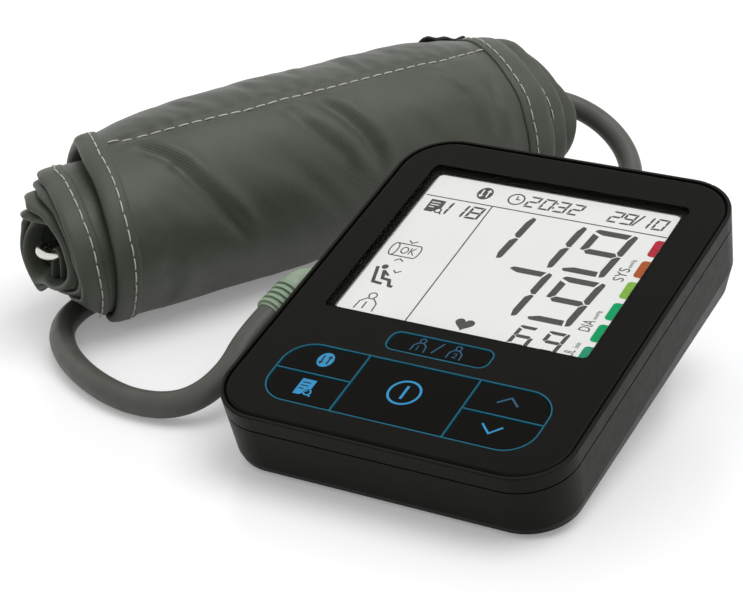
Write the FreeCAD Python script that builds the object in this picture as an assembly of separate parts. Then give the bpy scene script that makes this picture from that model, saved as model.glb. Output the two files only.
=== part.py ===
import FreeCAD, Part
import math
import os

# Upper arm blood pressure monitor with its rolled cuff, air hose and plug.
# Millimetres, +Z up. The origin lies on the table, below the middle of the front panel.
# What follows the sloping panel is drawn in the panel frame: u to the right, v up the slope,
# w out of the panel, with w = 0 on the panel's face. The cuff has a frame of its own:
# s along the roll, y across it and z up from the table.

V = FreeCAD.Vector

# Driving sizes of the housing
TILT = 16.0
BODY_WIDTH = 109.0
BODY_LENGTH = 135.2
BODY_DEPTH = 21.5
CREASE_DEPTH = 19.2
CORNER_RADIUS = 16.5
BODY_DRAFT = 1.2
BELLY_DRAFT = 0.3
BELLY_TILT = 3.4
BOTTOM_ROUND = 0.8
RIM_ROUND = 0.4
WALL = 2.0
SEAM_DEPTH = 5.0
SEAM_GROOVE_HEIGHT = 0.5
SEAM_GROOVE_DEPTH = 0.4
FRONT_CLEARANCE = 0.5
LIP_HEIGHT = 1.4
LIP_THICKNESS = 1.0
FIT = 0.1

# Front panel, deck and display
PANEL_INSET = 1.5
PANEL_THICKNESS = 1.6
PANEL_GAP = 0.4
PANEL_ROUND = 1.2
DECK_THICKNESS = 1.8
LCD_SIDE_MARGIN = 14.6
LCD_BACK_MARGIN = 16.0
LCD_KEY_GAP = 6.05
LCD_DEPTH = 1.9
LCD_TOP_GLASS = 1.1
LCD_BASE_GLASS = 1.4
LCD_BASE_MARGIN = 2.0
WINDOW_MARGIN = 0.4
WINDOW_RADIUS = 1.6
LENS_MARGIN = 2.3
LENS_THICKNESS = 1.1
LENS_RECESS = 1.2
LCD_FRAME_RAIL = 4.0

# Keys
CLUSTER_SIDE_MARGIN = 12.5
CLUSTER_FRONT_MARGIN = 9.5
CLUSTER_HEIGHT = 24.7
CLUSTER_RADIUS = 9.2
LEFT_DIVIDER_U = -17.6
RIGHT_DIVIDER_U = 17.2
ROW_DIVIDER_LIFT = 0.25
USER_KEY_WIDTH = 32.8
USER_KEY_HEIGHT = 8.3
USER_KEY_RADIUS = 3.2
USER_KEY_GAP = 3.65
TRIM_WIDTH = 0.45
TRIM_RISE = 0.05
KEY_GAP = 0.25
KEY_RECESS = 0.1
KEY_ROUND = 0.3
KEY_FLANGE = 0.85
KEY_FLANGE_REACH = 0.15
KEY_STEM = 0.65
KEY_STEM_RADIUS = 2.5
KEY_TRAVEL = 0.8
KEY_SLACK = 0.15

# Boards, bosses and screws
MEMBRANE_THICKNESS = 1.1
BOARD_SIDE_ROOM = 16.5
BOARD_FRONT_ROOM = 4.0
BOARD_BACK_ROOM = 5.0
BOARD_THICKNESS = 1.4
CHIP_HEIGHT = 1.2
BOARD_POST_RADIUS = 2.2
BOARD_POST_INSET = 3.2
BOARD_SCREW_RADIUS = 1.0
BOARD_SCREW_HEAD_RADIUS = 2.0
BOARD_SCREW_HEAD = 1.2
BOARD_SCREW_BITE = 2.4
BOSS_SIDE_INSET = 12.0
BOSS_END_INSET = 9.8
BOSS_RADIUS = 3.5
SCREW_RADIUS = 1.4
SCREW_HEAD_RADIUS = 2.8
SCREW_HEAD = 1.8
SCREW_SINK = 2.4
SCREW_BITE = 4.0

# Battery hump, door and cells
HUMP_MARGIN = 2.3
HUMP_FRONT_ROOM = 14.5
HUMP_BACK_INSET = 5.6
HUMP_RADIUS = 6.0
HUMP_ROUND = 1.5
BAY_SIDE_ROOM = 0.3
BAY_LENGTH = 56.5
BAY_WALL = 1.5
DOOR_GAP = 0.5
DOOR_THICKNESS = 2.0
DOOR_LIFT = 0.4
DOOR_HINGE_INSET = 2.0
HINGE_PIN_RADIUS = 0.8
HINGE_PIN_LENGTH = 1.4
DOOR_TAB_WIDTH = 14.0
DOOR_TAB_REACH = 0.9
GRIP_RIB_COUNT = 5
GRIP_RIB_PITCH = 2.4
CELL_RADIUS = 7.1
CELL_LENGTH = 48.5
CELL_TIP_RADIUS = 2.7
CELL_TIP = 1.5
CELL_PITCH = 15.2
CELL_COUNT = 4
CELL_LIFT = 0.4
CELL_HEADROOM = 1.8
CONTACT_WIDTH = 9.0
CONTACT_THICKNESS = 0.4

# Feet
FOOT_RADIUS = 4.5
FOOT_SIDE_INSET = 24.5
FOOT_FRONT_INSET = 20.6
FOOT_SINK = 0.8

# Air system, drawn in the panel frame
PORT_V = 3.0
PORT_W = -11.5
SOCKET_RADIUS = 4.0
SOCKET_BORE = 2.5
SOCKET_LENGTH = 10.0
BARB_RADIUS = 1.5
BARB_LENGTH = 5.0
TUBE_RADIUS = 2.2
CROSS_U = -22.0
CROSS_REACH = 7.0
CROSS_BODY_RADIUS = 2.0
SENSOR_SIZE = 10.0
SENSOR_HEIGHT = 4.8
VALVE_RADIUS = 2.9
VALVE_LENGTH = 14.0
PUMP_BACK_INSET = 23.3
PUMP_W = -20.5
PUMP_MOTOR_RADIUS = 9.0
PUMP_MOTOR_LENGTH = 30.0
PUMP_HEAD_RADIUS = 10.0
PUMP_HEAD_LENGTH = 15.0
PUMP_PORT_REACH = 8.0
CUSHION_WIDTH = 22.0
CUSHION_DEPTH = 16.0
CUSHION_WRAP = 4.0

# Plug on the hose
SPIGOT_RADIUS = 2.4
SPIGOT_LENGTH = 8.5
SPIGOT_BORE = 1.2
PLUG_GAP = 0.5
PLUG_COLLAR_RADIUS = 5.2
PLUG_COLLAR = 1.6
PLUG_RADIUS = 4.4
PLUG_REACH = 9.0
ELBOW_RADIUS = 6.0
RELIEF_LENGTH = 11.0
RELIEF_RIBS = 5
RELIEF_RIB_RADIUS = 5.0
RELIEF_VALLEY_RADIUS = 4.2

# Rolled cuff
CUFF_X = -125.7
CUFF_Y = 55.2
CUFF_TURN = 66.3
CUFF_RADIUS = 32.0
CUFF_FOLD_ANGLE = 20.0
LINING_FOLD_ANGLE = 36.0
FABRIC_THICKNESS = 1.1
BLADDER_THICKNESS = 1.5
LINING_THICKNESS = 1.2
LAYER_GAP = 0.1
OUTER_LEFT, OUTER_RIGHT = -53.0, 107.0
BLADDER_LEFT, BLADDER_RIGHT = -45.0, 97.0
LINING_LEFT, LINING_RIGHT = -65.0, 118.0
TURNS_LEFT, TURNS_RIGHT = -62.0, 127.0
LEFT_SKEW = 0.19
RIGHT_SKEW = 0.10
TURN_BORE = 10.0
TURN_GAP = 0.5
TURN_DROP = 3.5
TURN_CLEARANCE = 0.4
HALF_TURNS = 5
BLADDER_ANGLE = 130.0
RING_LENGTH = 132.0
RING_WIDTH = 10.0
RING_WIRE_RADIUS = 1.5
RING_LEFT = -67.0
NIPPLE_START = 102.0
NIPPLE_FLANGE = 3.0
NIPPLE_END = 112.0
NIPPLE_RADIUS = 2.6

# Air hose
HOSE_RADIUS = 4.0
HOSE_ARC_SHARE = 0.45
HOSE_CLEARANCE = 0.7
CHANNEL_START_S = 60.0
CHANNEL_BEND_S = 80.0
CHANNEL_BEND_Y = -22.0
CHANNEL_END_S = 100.0

HALF_WIDTH = BODY_WIDTH / 2
HALF_LENGTH = BODY_LENGTH / 2
BOARD_FRONT = -HALF_LENGTH + BOARD_FRONT_ROOM
BOARD_BACK = HALF_LENGTH - BOARD_BACK_ROOM
BOARD_WIDTH = BODY_WIDTH - 2 * BOARD_SIDE_ROOM
BOSS_U = HALF_WIDTH - BOSS_SIDE_INSET
BOSS_V = HALF_LENGTH - BOSS_END_INSET
CLUSTER_WIDTH = BODY_WIDTH - 2 * CLUSTER_SIDE_MARGIN
CLUSTER_CENTRE_V = -HALF_LENGTH + CLUSTER_FRONT_MARGIN + CLUSTER_HEIGHT / 2
ROW_DIVIDER_V = CLUSTER_CENTRE_V + ROW_DIVIDER_LIFT
USER_KEY_CENTRE_V = CLUSTER_CENTRE_V + (CLUSTER_HEIGHT + USER_KEY_HEIGHT) / 2 + USER_KEY_GAP
LCD_WIDTH = BODY_WIDTH - 2 * LCD_SIDE_MARGIN
LCD_FRONT = USER_KEY_CENTRE_V + USER_KEY_HEIGHT / 2 + LCD_KEY_GAP
LCD_BACK = HALF_LENGTH - LCD_BACK_MARGIN
LCD_HEIGHT = LCD_BACK - LCD_FRONT
LCD_CENTRE_V = (LCD_FRONT + LCD_BACK) / 2
FOOT_U = HALF_WIDTH - FOOT_SIDE_INSET
FOOT_Y = -HALF_LENGTH + FOOT_FRONT_INSET
HUMP_BACK = HALF_LENGTH - HUMP_BACK_INSET
BAY_BACK = HUMP_BACK - WALL
BAY_FRONT = BAY_BACK - BAY_LENGTH
HUMP_FRONT = BAY_FRONT - HUMP_FRONT_ROOM
PUMP_V = HALF_LENGTH - PUMP_BACK_INSET
BELLY_DROP = BODY_LENGTH * math.tan(math.radians(BELLY_TILT))
BELLY_DEPTH = BODY_DEPTH + BELLY_DROP - CREASE_DEPTH
BAY_WIDTH = CELL_COUNT * CELL_PITCH + 2 * BAY_SIDE_ROOM
HUMP_WIDTH = BAY_WIDTH + 2 * HUMP_MARGIN
PANEL_FLOOR = -PANEL_THICKNESS
DECK_FLOOR = PANEL_FLOOR - DECK_THICKNESS
KEY_FLANGE_TOP = DECK_FLOOR - FIT / 2
KEY_FLANGE_FLOOR = KEY_FLANGE_TOP - KEY_FLANGE
KEY_FLOOR = KEY_FLANGE_FLOOR - KEY_STEM
MEMBRANE_TOP = KEY_FLOOR - KEY_TRAVEL - KEY_SLACK
BOARD_TOP = MEMBRANE_TOP - MEMBRANE_THICKNESS
BOARD_FLOOR = BOARD_TOP - BOARD_THICKNESS
LCD_FLOOR = -LCD_DEPTH - LCD_TOP_GLASS - LCD_BASE_GLASS
SIN_TILT = math.sin(math.radians(TILT))
COS_TILT = math.cos(math.radians(TILT))
PANEL_HEIGHT = BODY_DEPTH * COS_TILT + FRONT_CLEARANCE + HALF_LENGTH * SIN_TILT
BAY_CEILING = DOOR_LIFT + DOOR_THICKNESS + CELL_LIFT + 2 * CELL_RADIUS + CELL_HEADROOM
CUFF_HEIGHT = CUFF_RADIUS * math.cos(math.radians(CUFF_FOLD_ANGLE))
LINING_RADIUS = CUFF_RADIUS - FABRIC_THICKNESS - BLADDER_THICKNESS - 2 * LAYER_GAP
LINING_BORE = LINING_RADIUS - LINING_THICKNESS
TURN_OUTER = LINING_BORE - TURN_DROP
TURN_PITCH = (TURN_OUTER - TURN_BORE + TURN_GAP) * 2 / (HALF_TURNS + 1)
TURN_THICKNESS = TURN_PITCH - TURN_GAP
TURNS_HEIGHT = CUFF_HEIGHT + LINING_BORE - TURN_CLEARANCE - TURN_OUTER
FAR = 200.0

# The hose's route between the plug and the cuff, chosen by hand. The first points are in the
# part's frame; the others are in the cuff's frame, as s along the roll, y across it and z.
HOSE_LOOP = [
    (-67.0, -20.5, 20.5), (-67.0, -29.8, 14.5), (-71.8, -38.0, 8.6), (-80.2, -42.6, 5.3),
    (-93.0, -43.2, 4.05), (-106.0, -40.0, 4.05), (-119.5, -33.5, 4.05), (-132.2, -24.5, 4.05),
    (-142.8, -12.8, 4.05), (-148.0, -0.2, 4.05), (-148.6, 13.0, 4.05), (-144.0, 26.0, 4.05),
]
HOSE_UNDER_CUFF = [
    (-13.0, 1.0, 4.05), (17.0, -1.0, 4.05), (40.0, 1.5, 4.05), (59.0, 0.0, 4.05),
    (73.0, -5.5, 4.05), (83.5, -16.0, 4.05), (91.0, -29.5, 4.05), (99.0, -42.0, 4.05),
    (112.5, -50.1, 4.05), (128.5, -50.1, 4.05), (142.5, -43.4, 8.5), (150.5, -31.8, 16.0),
    (150.5, -18.3, 24.0), (142.5, -6.7, 30.4), (128.5, 0.0, TURNS_HEIGHT),
]


def on_slope(shape):
    """Move a shape from the panel frame to the part's frame."""
    placed = shape.copy()
    placed.rotate(V(0, 0, 0), V(1, 0, 0), TILT)
    placed.translate(V(0, 0, PANEL_HEIGHT))
    return placed


def slope_point(u, v, w):
    """A point of the panel frame, in the part's frame."""
    y = v * COS_TILT - w * SIN_TILT
    z = v * SIN_TILT + w * COS_TILT + PANEL_HEIGHT
    return V(u, y, z)


def in_cuff(shape):
    """Move a shape from the cuff's frame to the part's frame."""
    placed = shape.copy()
    placed.rotate(V(0, 0, 0), V(0, 0, 1), CUFF_TURN)
    placed.translate(V(CUFF_X, CUFF_Y, 0))
    return placed


def cuff_point(s, y, z):
    """A point of the cuff's frame, in the part's frame."""
    turn = math.radians(CUFF_TURN)
    x_part = CUFF_X + s * math.cos(turn) - y * math.sin(turn)
    y_part = CUFF_Y + s * math.sin(turn) + y * math.cos(turn)
    return V(x_part, y_part, z)


def box(x_range, y_range, z_range):
    size = [high - low for low, high in (x_range, y_range, z_range)]
    return Part.makeBox(size[0], size[1], size[2], V(x_range[0], y_range[0], z_range[0]))


def rod(radius, start, end):
    axis = end - start
    return Part.makeCylinder(radius, axis.Length, start, axis)


def tube(outer, inner, start, end):
    return rod(outer, start, end).cut(rod(inner, start, end))


def fuse_all(shapes):
    return shapes[0].multiFuse(shapes[1:]).removeSplitter()


def rounded_wire(width, length, radius, height, centre=(0.0, 0.0)):
    """A rectangle with round corners, at one height."""
    half_width, half_length = width / 2 - radius, length / 2 - radius
    corners = [(1, 1, 0), (-1, 1, 90), (-1, -1, 180), (1, -1, 270)]
    edges = []
    last_end = None
    for side, end, start_angle in corners:
        middle = V(centre[0] + side * half_width, centre[1] + end * half_length, height)
        arc = Part.makeCircle(radius, middle, V(0, 0, 1), start_angle, start_angle + 90)
        if last_end is not None:
            edges.append(Part.makeLine(last_end, arc.Vertexes[0].Point))
        edges.append(arc)
        last_end = arc.Vertexes[-1].Point
    edges.append(Part.makeLine(last_end, edges[0].Vertexes[0].Point))
    return Part.Wire(edges)


def rounded_block(width, length, radius, z_range, centre=(0.0, 0.0)):
    face = Part.Face(rounded_wire(width, length, radius, z_range[0], centre))
    return face.extrude(V(0, 0, z_range[1] - z_range[0]))


def edges_at(shape, height, reach=0.01):
    """The edges of a shape that lie wholly at one height."""
    return [edge for edge in shape.Edges
            if abs(edge.BoundBox.ZMin - height) < reach and abs(edge.BoundBox.ZMax - height) < reach]


def drafted_block(inset, depths, draft):
    """The body's outline drawn in by an inset, and by a draft for each millimetre below the first depth."""
    wires = []
    for depth in depths:
        shrink = inset + draft * (depth - depths[0])
        width, length = BODY_WIDTH - 2 * shrink, BODY_LENGTH - 2 * shrink
        wires.append(rounded_wire(width, length, CORNER_RADIUS - shrink, -depth))
    return Part.makeLoft(wires, True, True)


def wall_block(inset):
    """The body's upright part, from the panel's plane down to the crease."""
    return drafted_block(inset, (0.0, CREASE_DEPTH), BODY_DRAFT / BODY_DEPTH)


def below_bottom(lift):
    """Everything below the body's bottom, which falls away to the back, raised by a lift."""
    level = -BODY_DEPTH + lift
    block = box((-FAR, FAR), (-FAR, FAR), (-FAR, level))
    block.rotate(V(0, -HALF_LENGTH, level), V(1, 0, 0), -BELLY_TILT)
    return block


def body_block(inset, lift, round_radius):
    """The whole body, drawn in by an inset, with its bottom raised by a lift and rounded."""
    belly_inset = inset + CREASE_DEPTH * BODY_DRAFT / BODY_DEPTH
    belly = drafted_block(belly_inset, (CREASE_DEPTH, CREASE_DEPTH + BELLY_DEPTH), BELLY_DRAFT)
    belly = belly.cut(below_bottom(lift))
    lower_faces = [face for face in belly.Faces if face.CenterOfMass.z < -CREASE_DEPTH - FIT]
    bottom = max(lower_faces, key=lambda face: face.Area)
    belly = belly.makeFillet(round_radius, bottom.Edges)
    return fuse_all([wall_block(inset), belly])


def panel_outline(grow, z_range):
    shrink = PANEL_INSET - grow
    return rounded_block(BODY_WIDTH - 2 * shrink, BODY_LENGTH - 2 * shrink, CORNER_RADIUS - shrink, z_range)


def lcd_outline(grow, radius, z_range):
    return rounded_block(LCD_WIDTH + 2 * grow, LCD_HEIGHT + 2 * grow, radius, z_range, (0.0, LCD_CENTRE_V))


def cluster_outline(inset, z_range):
    return rounded_block(CLUSTER_WIDTH - 2 * inset, CLUSTER_HEIGHT - 2 * inset, CLUSTER_RADIUS - inset,
                         z_range, (0.0, CLUSTER_CENTRE_V))


def user_key_outline(inset, z_range):
    return rounded_block(USER_KEY_WIDTH - 2 * inset, USER_KEY_HEIGHT - 2 * inset, USER_KEY_RADIUS - inset,
                         z_range, (0.0, USER_KEY_CENTRE_V))


# Each key of the cluster with the part of the cluster that it takes: u from, u to, v from, v to
CLUSTER_CELLS = {
    "key_transfer": (-FAR, LEFT_DIVIDER_U, ROW_DIVIDER_V, FAR),
    "key_memory": (-FAR, LEFT_DIVIDER_U, -FAR, ROW_DIVIDER_V),
    "key_start_stop": (LEFT_DIVIDER_U, RIGHT_DIVIDER_U, -FAR, FAR),
    "key_up": (RIGHT_DIVIDER_U, FAR, ROW_DIVIDER_V, FAR),
    "key_down": (RIGHT_DIVIDER_U, FAR, -FAR, ROW_DIVIDER_V),
}


def cell_block(name, inset, z_range):
    """One key's cell, drawn in from the trim's outer edge and from the middle of the dividers."""
    u_from, u_to, v_from, v_to = CLUSTER_CELLS[name]
    side = inset - TRIM_WIDTH / 2
    cell = box((u_from + side, u_to - side), (v_from + side, v_to - side), z_range)
    return cluster_outline(inset, z_range).common(cell)


def key_openings():
    """What the keys pass through: the deck's holes, as wide as the trim's openings."""
    z_range = (DECK_FLOOR - 1, 1.0)
    holes = [cell_block(name, TRIM_WIDTH, z_range) for name in CLUSTER_CELLS]
    holes.append(user_key_outline(TRIM_WIDTH, z_range))
    return holes


def key_shape(outline):
    """A key: cap, flange under the deck and stem. The outline makes a block from an inset and a height."""
    cap = outline(TRIM_WIDTH + KEY_GAP, (KEY_FLANGE_TOP, -KEY_RECESS))
    cap = cap.makeFillet(KEY_ROUND, edges_at(cap, -KEY_RECESS))
    flange = outline(TRIM_WIDTH - KEY_FLANGE_REACH, (KEY_FLANGE_FLOOR, KEY_FLANGE_TOP))
    middle = flange.BoundBox.Center
    stem = rod(KEY_STEM_RADIUS, V(middle.x, middle.y, KEY_FLOOR), V(middle.x, middle.y, KEY_FLANGE_FLOOR))
    return fuse_all([cap, flange, stem])


def cluster_key(name):
    return key_shape(lambda inset, z_range: cell_block(name, inset, z_range))


def key_user():
    return key_shape(user_key_outline)


def key_frame():
    """The raised trim round the five keys, with its dividers."""
    z_range = (PANEL_FLOOR, TRIM_RISE)
    frame = cluster_outline(0.0, z_range)
    for name in CLUSTER_CELLS:
        frame = frame.cut(cell_block(name, TRIM_WIDTH, (PANEL_FLOOR - 1, TRIM_RISE + 1)))
    return frame


def user_key_ring():
    ring = user_key_outline(0.0, (PANEL_FLOOR, TRIM_RISE))
    return ring.cut(user_key_outline(TRIM_WIDTH, (PANEL_FLOOR - 1, TRIM_RISE + 1)))


def corner_points(u, v):
    return [(side * u, end * v) for side in (-1, 1) for end in (-1, 1)]


def board_post_points():
    ends = (BOARD_FRONT + BOARD_POST_INSET, BOARD_BACK - BOARD_POST_INSET)
    return [(side * BOARD_WIDTH / 4, v) for side in (-1, 1) for v in ends]


def screw_split():
    """The height where a boss of the top housing meets one of the bottom housing."""
    return BOARD_FLOOR


def top_housing():
    shell = wall_block(0.0)
    shell = shell.makeFillet(RIM_ROUND, edges_at(shell, 0.0))
    top = shell.common(box((-FAR, FAR), (-FAR, FAR), (-SEAM_DEPTH, 1)))
    top = top.cut(wall_block(WALL).common(box((-FAR, FAR), (-FAR, FAR), (-FAR, DECK_FLOOR))))
    top = top.cut(panel_outline(PANEL_GAP, (PANEL_FLOOR, 1.0)))
    window = lcd_outline(LCD_BASE_MARGIN + FIT, WINDOW_RADIUS, (DECK_FLOOR - 1, 1.0))
    top = top.cut(Part.makeCompound([window] + key_openings()))
    bosses = []
    for u, v in corner_points(BOSS_U, BOSS_V):
        bosses.append(rod(BOSS_RADIUS, V(u, v, screw_split() + FIT), V(u, v, DECK_FLOOR + FIT)))
    for u, v in board_post_points():
        bosses.append(rod(BOARD_POST_RADIUS, V(u, v, BOARD_TOP), V(u, v, DECK_FLOOR + FIT)))
    top = fuse_all([top] + bosses)
    for u, v in corner_points(BOSS_U, BOSS_V):
        top = top.cut(rod(SCREW_RADIUS, V(u, v, screw_split()), V(u, v, screw_split() + SCREW_BITE)))
    for u, v in board_post_points():
        top = top.cut(rod(BOARD_SCREW_RADIUS, V(u, v, BOARD_TOP), V(u, v, BOARD_TOP + BOARD_SCREW_BITE)))
    return on_slope(top)


def front_panel():
    panel = panel_outline(0.0, (PANEL_FLOOR, 0.0))
    panel = panel.makeFillet(PANEL_ROUND, edges_at(panel, 0.0))
    lens_hole = lcd_outline(LENS_MARGIN + FIT, LENS_MARGIN, (-LENS_RECESS, 1.0))
    window = lcd_outline(WINDOW_MARGIN, WINDOW_RADIUS, (PANEL_FLOOR - 1, 1.0))
    through = (PANEL_FLOOR - 1, 1.0)
    holes = [lens_hole, window, cluster_outline(-FIT, through), user_key_outline(-FIT, through)]
    for hole in holes:
        panel = panel.cut(hole)
    return on_slope(panel)


def display_lens():
    return on_slope(lcd_outline(LENS_MARGIN, LENS_MARGIN, (-LENS_RECESS, LENS_THICKNESS - LENS_RECESS)))


def lcd_module():
    top_glass = lcd_outline(0.0, WINDOW_RADIUS, (-LCD_DEPTH - LCD_TOP_GLASS, -LCD_DEPTH))
    base_glass = lcd_outline(LCD_BASE_MARGIN, WINDOW_RADIUS, (LCD_FLOOR, -LCD_DEPTH - LCD_TOP_GLASS))
    return on_slope(top_glass.fuse(base_glass).removeSplitter())


def lcd_frame():
    frame = lcd_outline(LCD_BASE_MARGIN, WINDOW_RADIUS, (BOARD_TOP, LCD_FLOOR))
    opening = lcd_outline(LCD_BASE_MARGIN - LCD_FRAME_RAIL, WINDOW_RADIUS, (BOARD_TOP - 1, LCD_FLOOR + 1))
    return on_slope(frame.cut(opening))


def keypad_membrane():
    front = CLUSTER_CENTRE_V - CLUSTER_HEIGHT / 2 + TRIM_WIDTH
    back = USER_KEY_CENTRE_V + USER_KEY_HEIGHT / 2
    mat = rounded_block(BOARD_WIDTH, back - front, USER_KEY_RADIUS, (BOARD_TOP, MEMBRANE_TOP),
                        (0.0, (front + back) / 2))
    return on_slope(mat)


def main_board():
    board = rounded_block(BOARD_WIDTH, BOARD_BACK - BOARD_FRONT, USER_KEY_RADIUS, (BOARD_FLOOR, BOARD_TOP),
                          (0.0, (BOARD_FRONT + BOARD_BACK) / 2))
    chips = []
    for u, v, size in ((12.0, -22.0, 12.0), (16.0, 14.0, 9.0), (-6.0, -40.0, 7.0)):
        chips.append(box((u - size / 2, u + size / 2), (v - size / 2, v + size / 2),
                         (BOARD_FLOOR - CHIP_HEIGHT, BOARD_FLOOR)))
    board = fuse_all([board] + chips)
    for u, v in board_post_points():
        board = board.cut(rod(BOARD_SCREW_RADIUS + FIT, V(u, v, BOARD_FLOOR - 1), V(u, v, BOARD_TOP + 1)))
    return on_slope(board)


def board_screws():
    screws = []
    for u, v in board_post_points():
        shank = rod(BOARD_SCREW_RADIUS, V(u, v, BOARD_FLOOR), V(u, v, BOARD_TOP + BOARD_SCREW_BITE))
        head = rod(BOARD_SCREW_HEAD_RADIUS, V(u, v, BOARD_FLOOR - BOARD_SCREW_HEAD), V(u, v, BOARD_FLOOR))
        screws.append(on_slope(shank.fuse(head).removeSplitter()))
    return Part.makeCompound(screws)


def screw_head_floor():
    return -BODY_DEPTH + SCREW_SINK - SCREW_HEAD


def housing_screws():
    screws = []
    shoulder = screw_head_floor() + SCREW_HEAD
    for u, v in corner_points(BOSS_U, BOSS_V):
        shank = rod(SCREW_RADIUS, V(u, v, shoulder), V(u, v, screw_split() + SCREW_BITE))
        head = rod(SCREW_HEAD_RADIUS, V(u, v, screw_head_floor()), V(u, v, shoulder))
        screws.append(on_slope(shank.fuse(head).removeSplitter()))
    return Part.makeCompound(screws)


def seam_groove():
    """The shadow line below the seam, round the outside of the wall."""
    slab = box((-FAR, FAR), (-FAR, FAR), (-SEAM_DEPTH - SEAM_GROOVE_HEIGHT, -SEAM_DEPTH))
    return slab.cut(wall_block(SEAM_GROOVE_DEPTH))


def tray():
    """The bottom housing's sloping part, in the panel frame."""
    below_seam = box((-FAR, FAR), (-FAR, FAR), (-FAR, -SEAM_DEPTH))
    shell = body_block(0.0, 0.0, BOTTOM_ROUND).common(below_seam)
    return shell.cut(body_block(WALL, WALL, BOTTOM_ROUND)).cut(seam_groove())


def seam_lip():
    """The tongue that stands up inside the top housing's wall."""
    low = -SEAM_DEPTH - 2 * LIP_HEIGHT
    root = wall_block(WALL - FIT).common(box((-FAR, FAR), (-FAR, FAR), (low, -SEAM_DEPTH - FIT)))
    tongue = wall_block(WALL + FIT).common(box((-FAR, FAR), (-FAR, FAR), (low, -SEAM_DEPTH + LIP_HEIGHT)))
    return root.fuse(tongue).cut(wall_block(WALL + LIP_THICKNESS)).removeSplitter()


def hump_block(inset, floor):
    """The battery hump, drawn in by an inset, from a floor up into the tray."""
    width = HUMP_WIDTH - 2 * inset
    length = HUMP_BACK - HUMP_FRONT - 2 * inset
    middle = (HUMP_FRONT + HUMP_BACK) / 2
    block = rounded_block(width, length, HUMP_RADIUS - inset, (floor, FAR), (0.0, middle))
    return block.makeFillet(HUMP_ROUND, edges_at(block, floor))


def bay_box(wall, ceiling):
    half = BAY_WIDTH / 2 + wall
    return box((-half, half), (BAY_FRONT - wall, BAY_BACK + wall), (-1.0, ceiling))


def hinge_line():
    """The door's hinge: its y and z."""
    return BAY_FRONT + DOOR_GAP + DOOR_HINGE_INSET, DOOR_LIFT + DOOR_THICKNESS / 2


def door_tab(grow):
    half = DOOR_TAB_WIDTH / 2 + grow
    reach = BAY_BACK - DOOR_GAP + DOOR_TAB_REACH + grow
    return box((-half, half), (BAY_BACK - DOOR_GAP - 1, reach), (DOOR_LIFT, DOOR_LIFT + DOOR_THICKNESS))


def foot_rods(grow):
    """Columns from the table up to the floor of the feet's pockets."""
    rods = []
    for side in (-1, 1):
        column = rod(FOOT_RADIUS + grow, V(side * FOOT_U, FOOT_Y, 0), V(side * FOOT_U, FOOT_Y, FAR))
        rods.append(column.common(on_slope(below_bottom(FOOT_SINK))))
    return rods


def bottom_housing():
    outer_tray = on_slope(tray().fuse(seam_lip()).removeSplitter())
    hump = hump_block(0.0, 0.0).common(on_slope(below_bottom(WALL)))
    hump = hump.cut(hump_block(WALL, WALL))
    bay = bay_box(BAY_WALL, BAY_CEILING + BAY_WALL).common(hump_block(0.0, 0.0))
    bosses = []
    for u, v in corner_points(BOSS_U, BOSS_V):
        column = rod(BOSS_RADIUS, V(u, v, -FAR), V(u, v, screw_split()))
        bosses.append(on_slope(column.cut(below_bottom(WALL / 2))))
    opened_tray = outer_tray.cut(hump_block(WALL, WALL))
    housing = fuse_all([opened_tray, hump, bay] + bosses)
    housing = housing.cut(bay_box(0.0, BAY_CEILING))
    cuts = [door_tab(DOOR_GAP).fuse(door_tab(DOOR_GAP).translated(V(0, 0, -1)))]
    hinge_y, hinge_z = hinge_line()
    half = BAY_WIDTH / 2 - DOOR_GAP + HINGE_PIN_LENGTH + FIT
    cuts.append(rod(HINGE_PIN_RADIUS + FIT / 2, V(-half, hinge_y, hinge_z), V(half, hinge_y, hinge_z)))
    cuts += foot_rods(FIT)
    left = -HALF_WIDTH
    cuts.append(on_slope(rod(SOCKET_RADIUS, V(left - 1, PORT_V, PORT_W), V(left + 3 * WALL, PORT_V, PORT_W))))
    for u, v in corner_points(BOSS_U, BOSS_V):
        shoulder = screw_head_floor() + SCREW_HEAD
        cuts.append(on_slope(rod(SCREW_RADIUS + FIT, V(u, v, shoulder - 1), V(u, v, screw_split() + 1))))
        cuts.append(on_slope(rod(SCREW_HEAD_RADIUS + FIT, V(u, v, -FAR), V(u, v, shoulder))))
    for piece in cuts:
        housing = housing.cut(piece)
    return housing


def rubber_feet():
    return Part.makeCompound(foot_rods(0.0))


def battery_door():
    half = BAY_WIDTH / 2 - DOOR_GAP
    y_range = (BAY_FRONT + DOOR_GAP, BAY_BACK - DOOR_GAP)
    plate = box((-half, half), y_range, (DOOR_LIFT, DOOR_LIFT + DOOR_THICKNESS))
    hinge_y, hinge_z = hinge_line()
    reach = half + HINGE_PIN_LENGTH
    pins = rod(HINGE_PIN_RADIUS, V(-reach, hinge_y, hinge_z), V(reach, hinge_y, hinge_z))
    door = fuse_all([plate, pins, door_tab(0.0)])
    for index in range(GRIP_RIB_COUNT):
        y = y_range[1] - GRIP_RIB_PITCH * (index + 2)
        groove = rod(DOOR_LIFT, V(-DOOR_TAB_WIDTH, y, DOOR_LIFT), V(DOOR_TAB_WIDTH, y, DOOR_LIFT))
        door = door.cut(groove)
    return door


def cell_places():
    """The x of each cell and the way that its tip points."""
    first = -CELL_PITCH * (CELL_COUNT - 1) / 2
    return [(first + CELL_PITCH * index, 1 - 2 * (index % 2)) for index in range(CELL_COUNT)]


def cell_height():
    return DOOR_LIFT + DOOR_THICKNESS + CELL_LIFT + CELL_RADIUS


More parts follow.
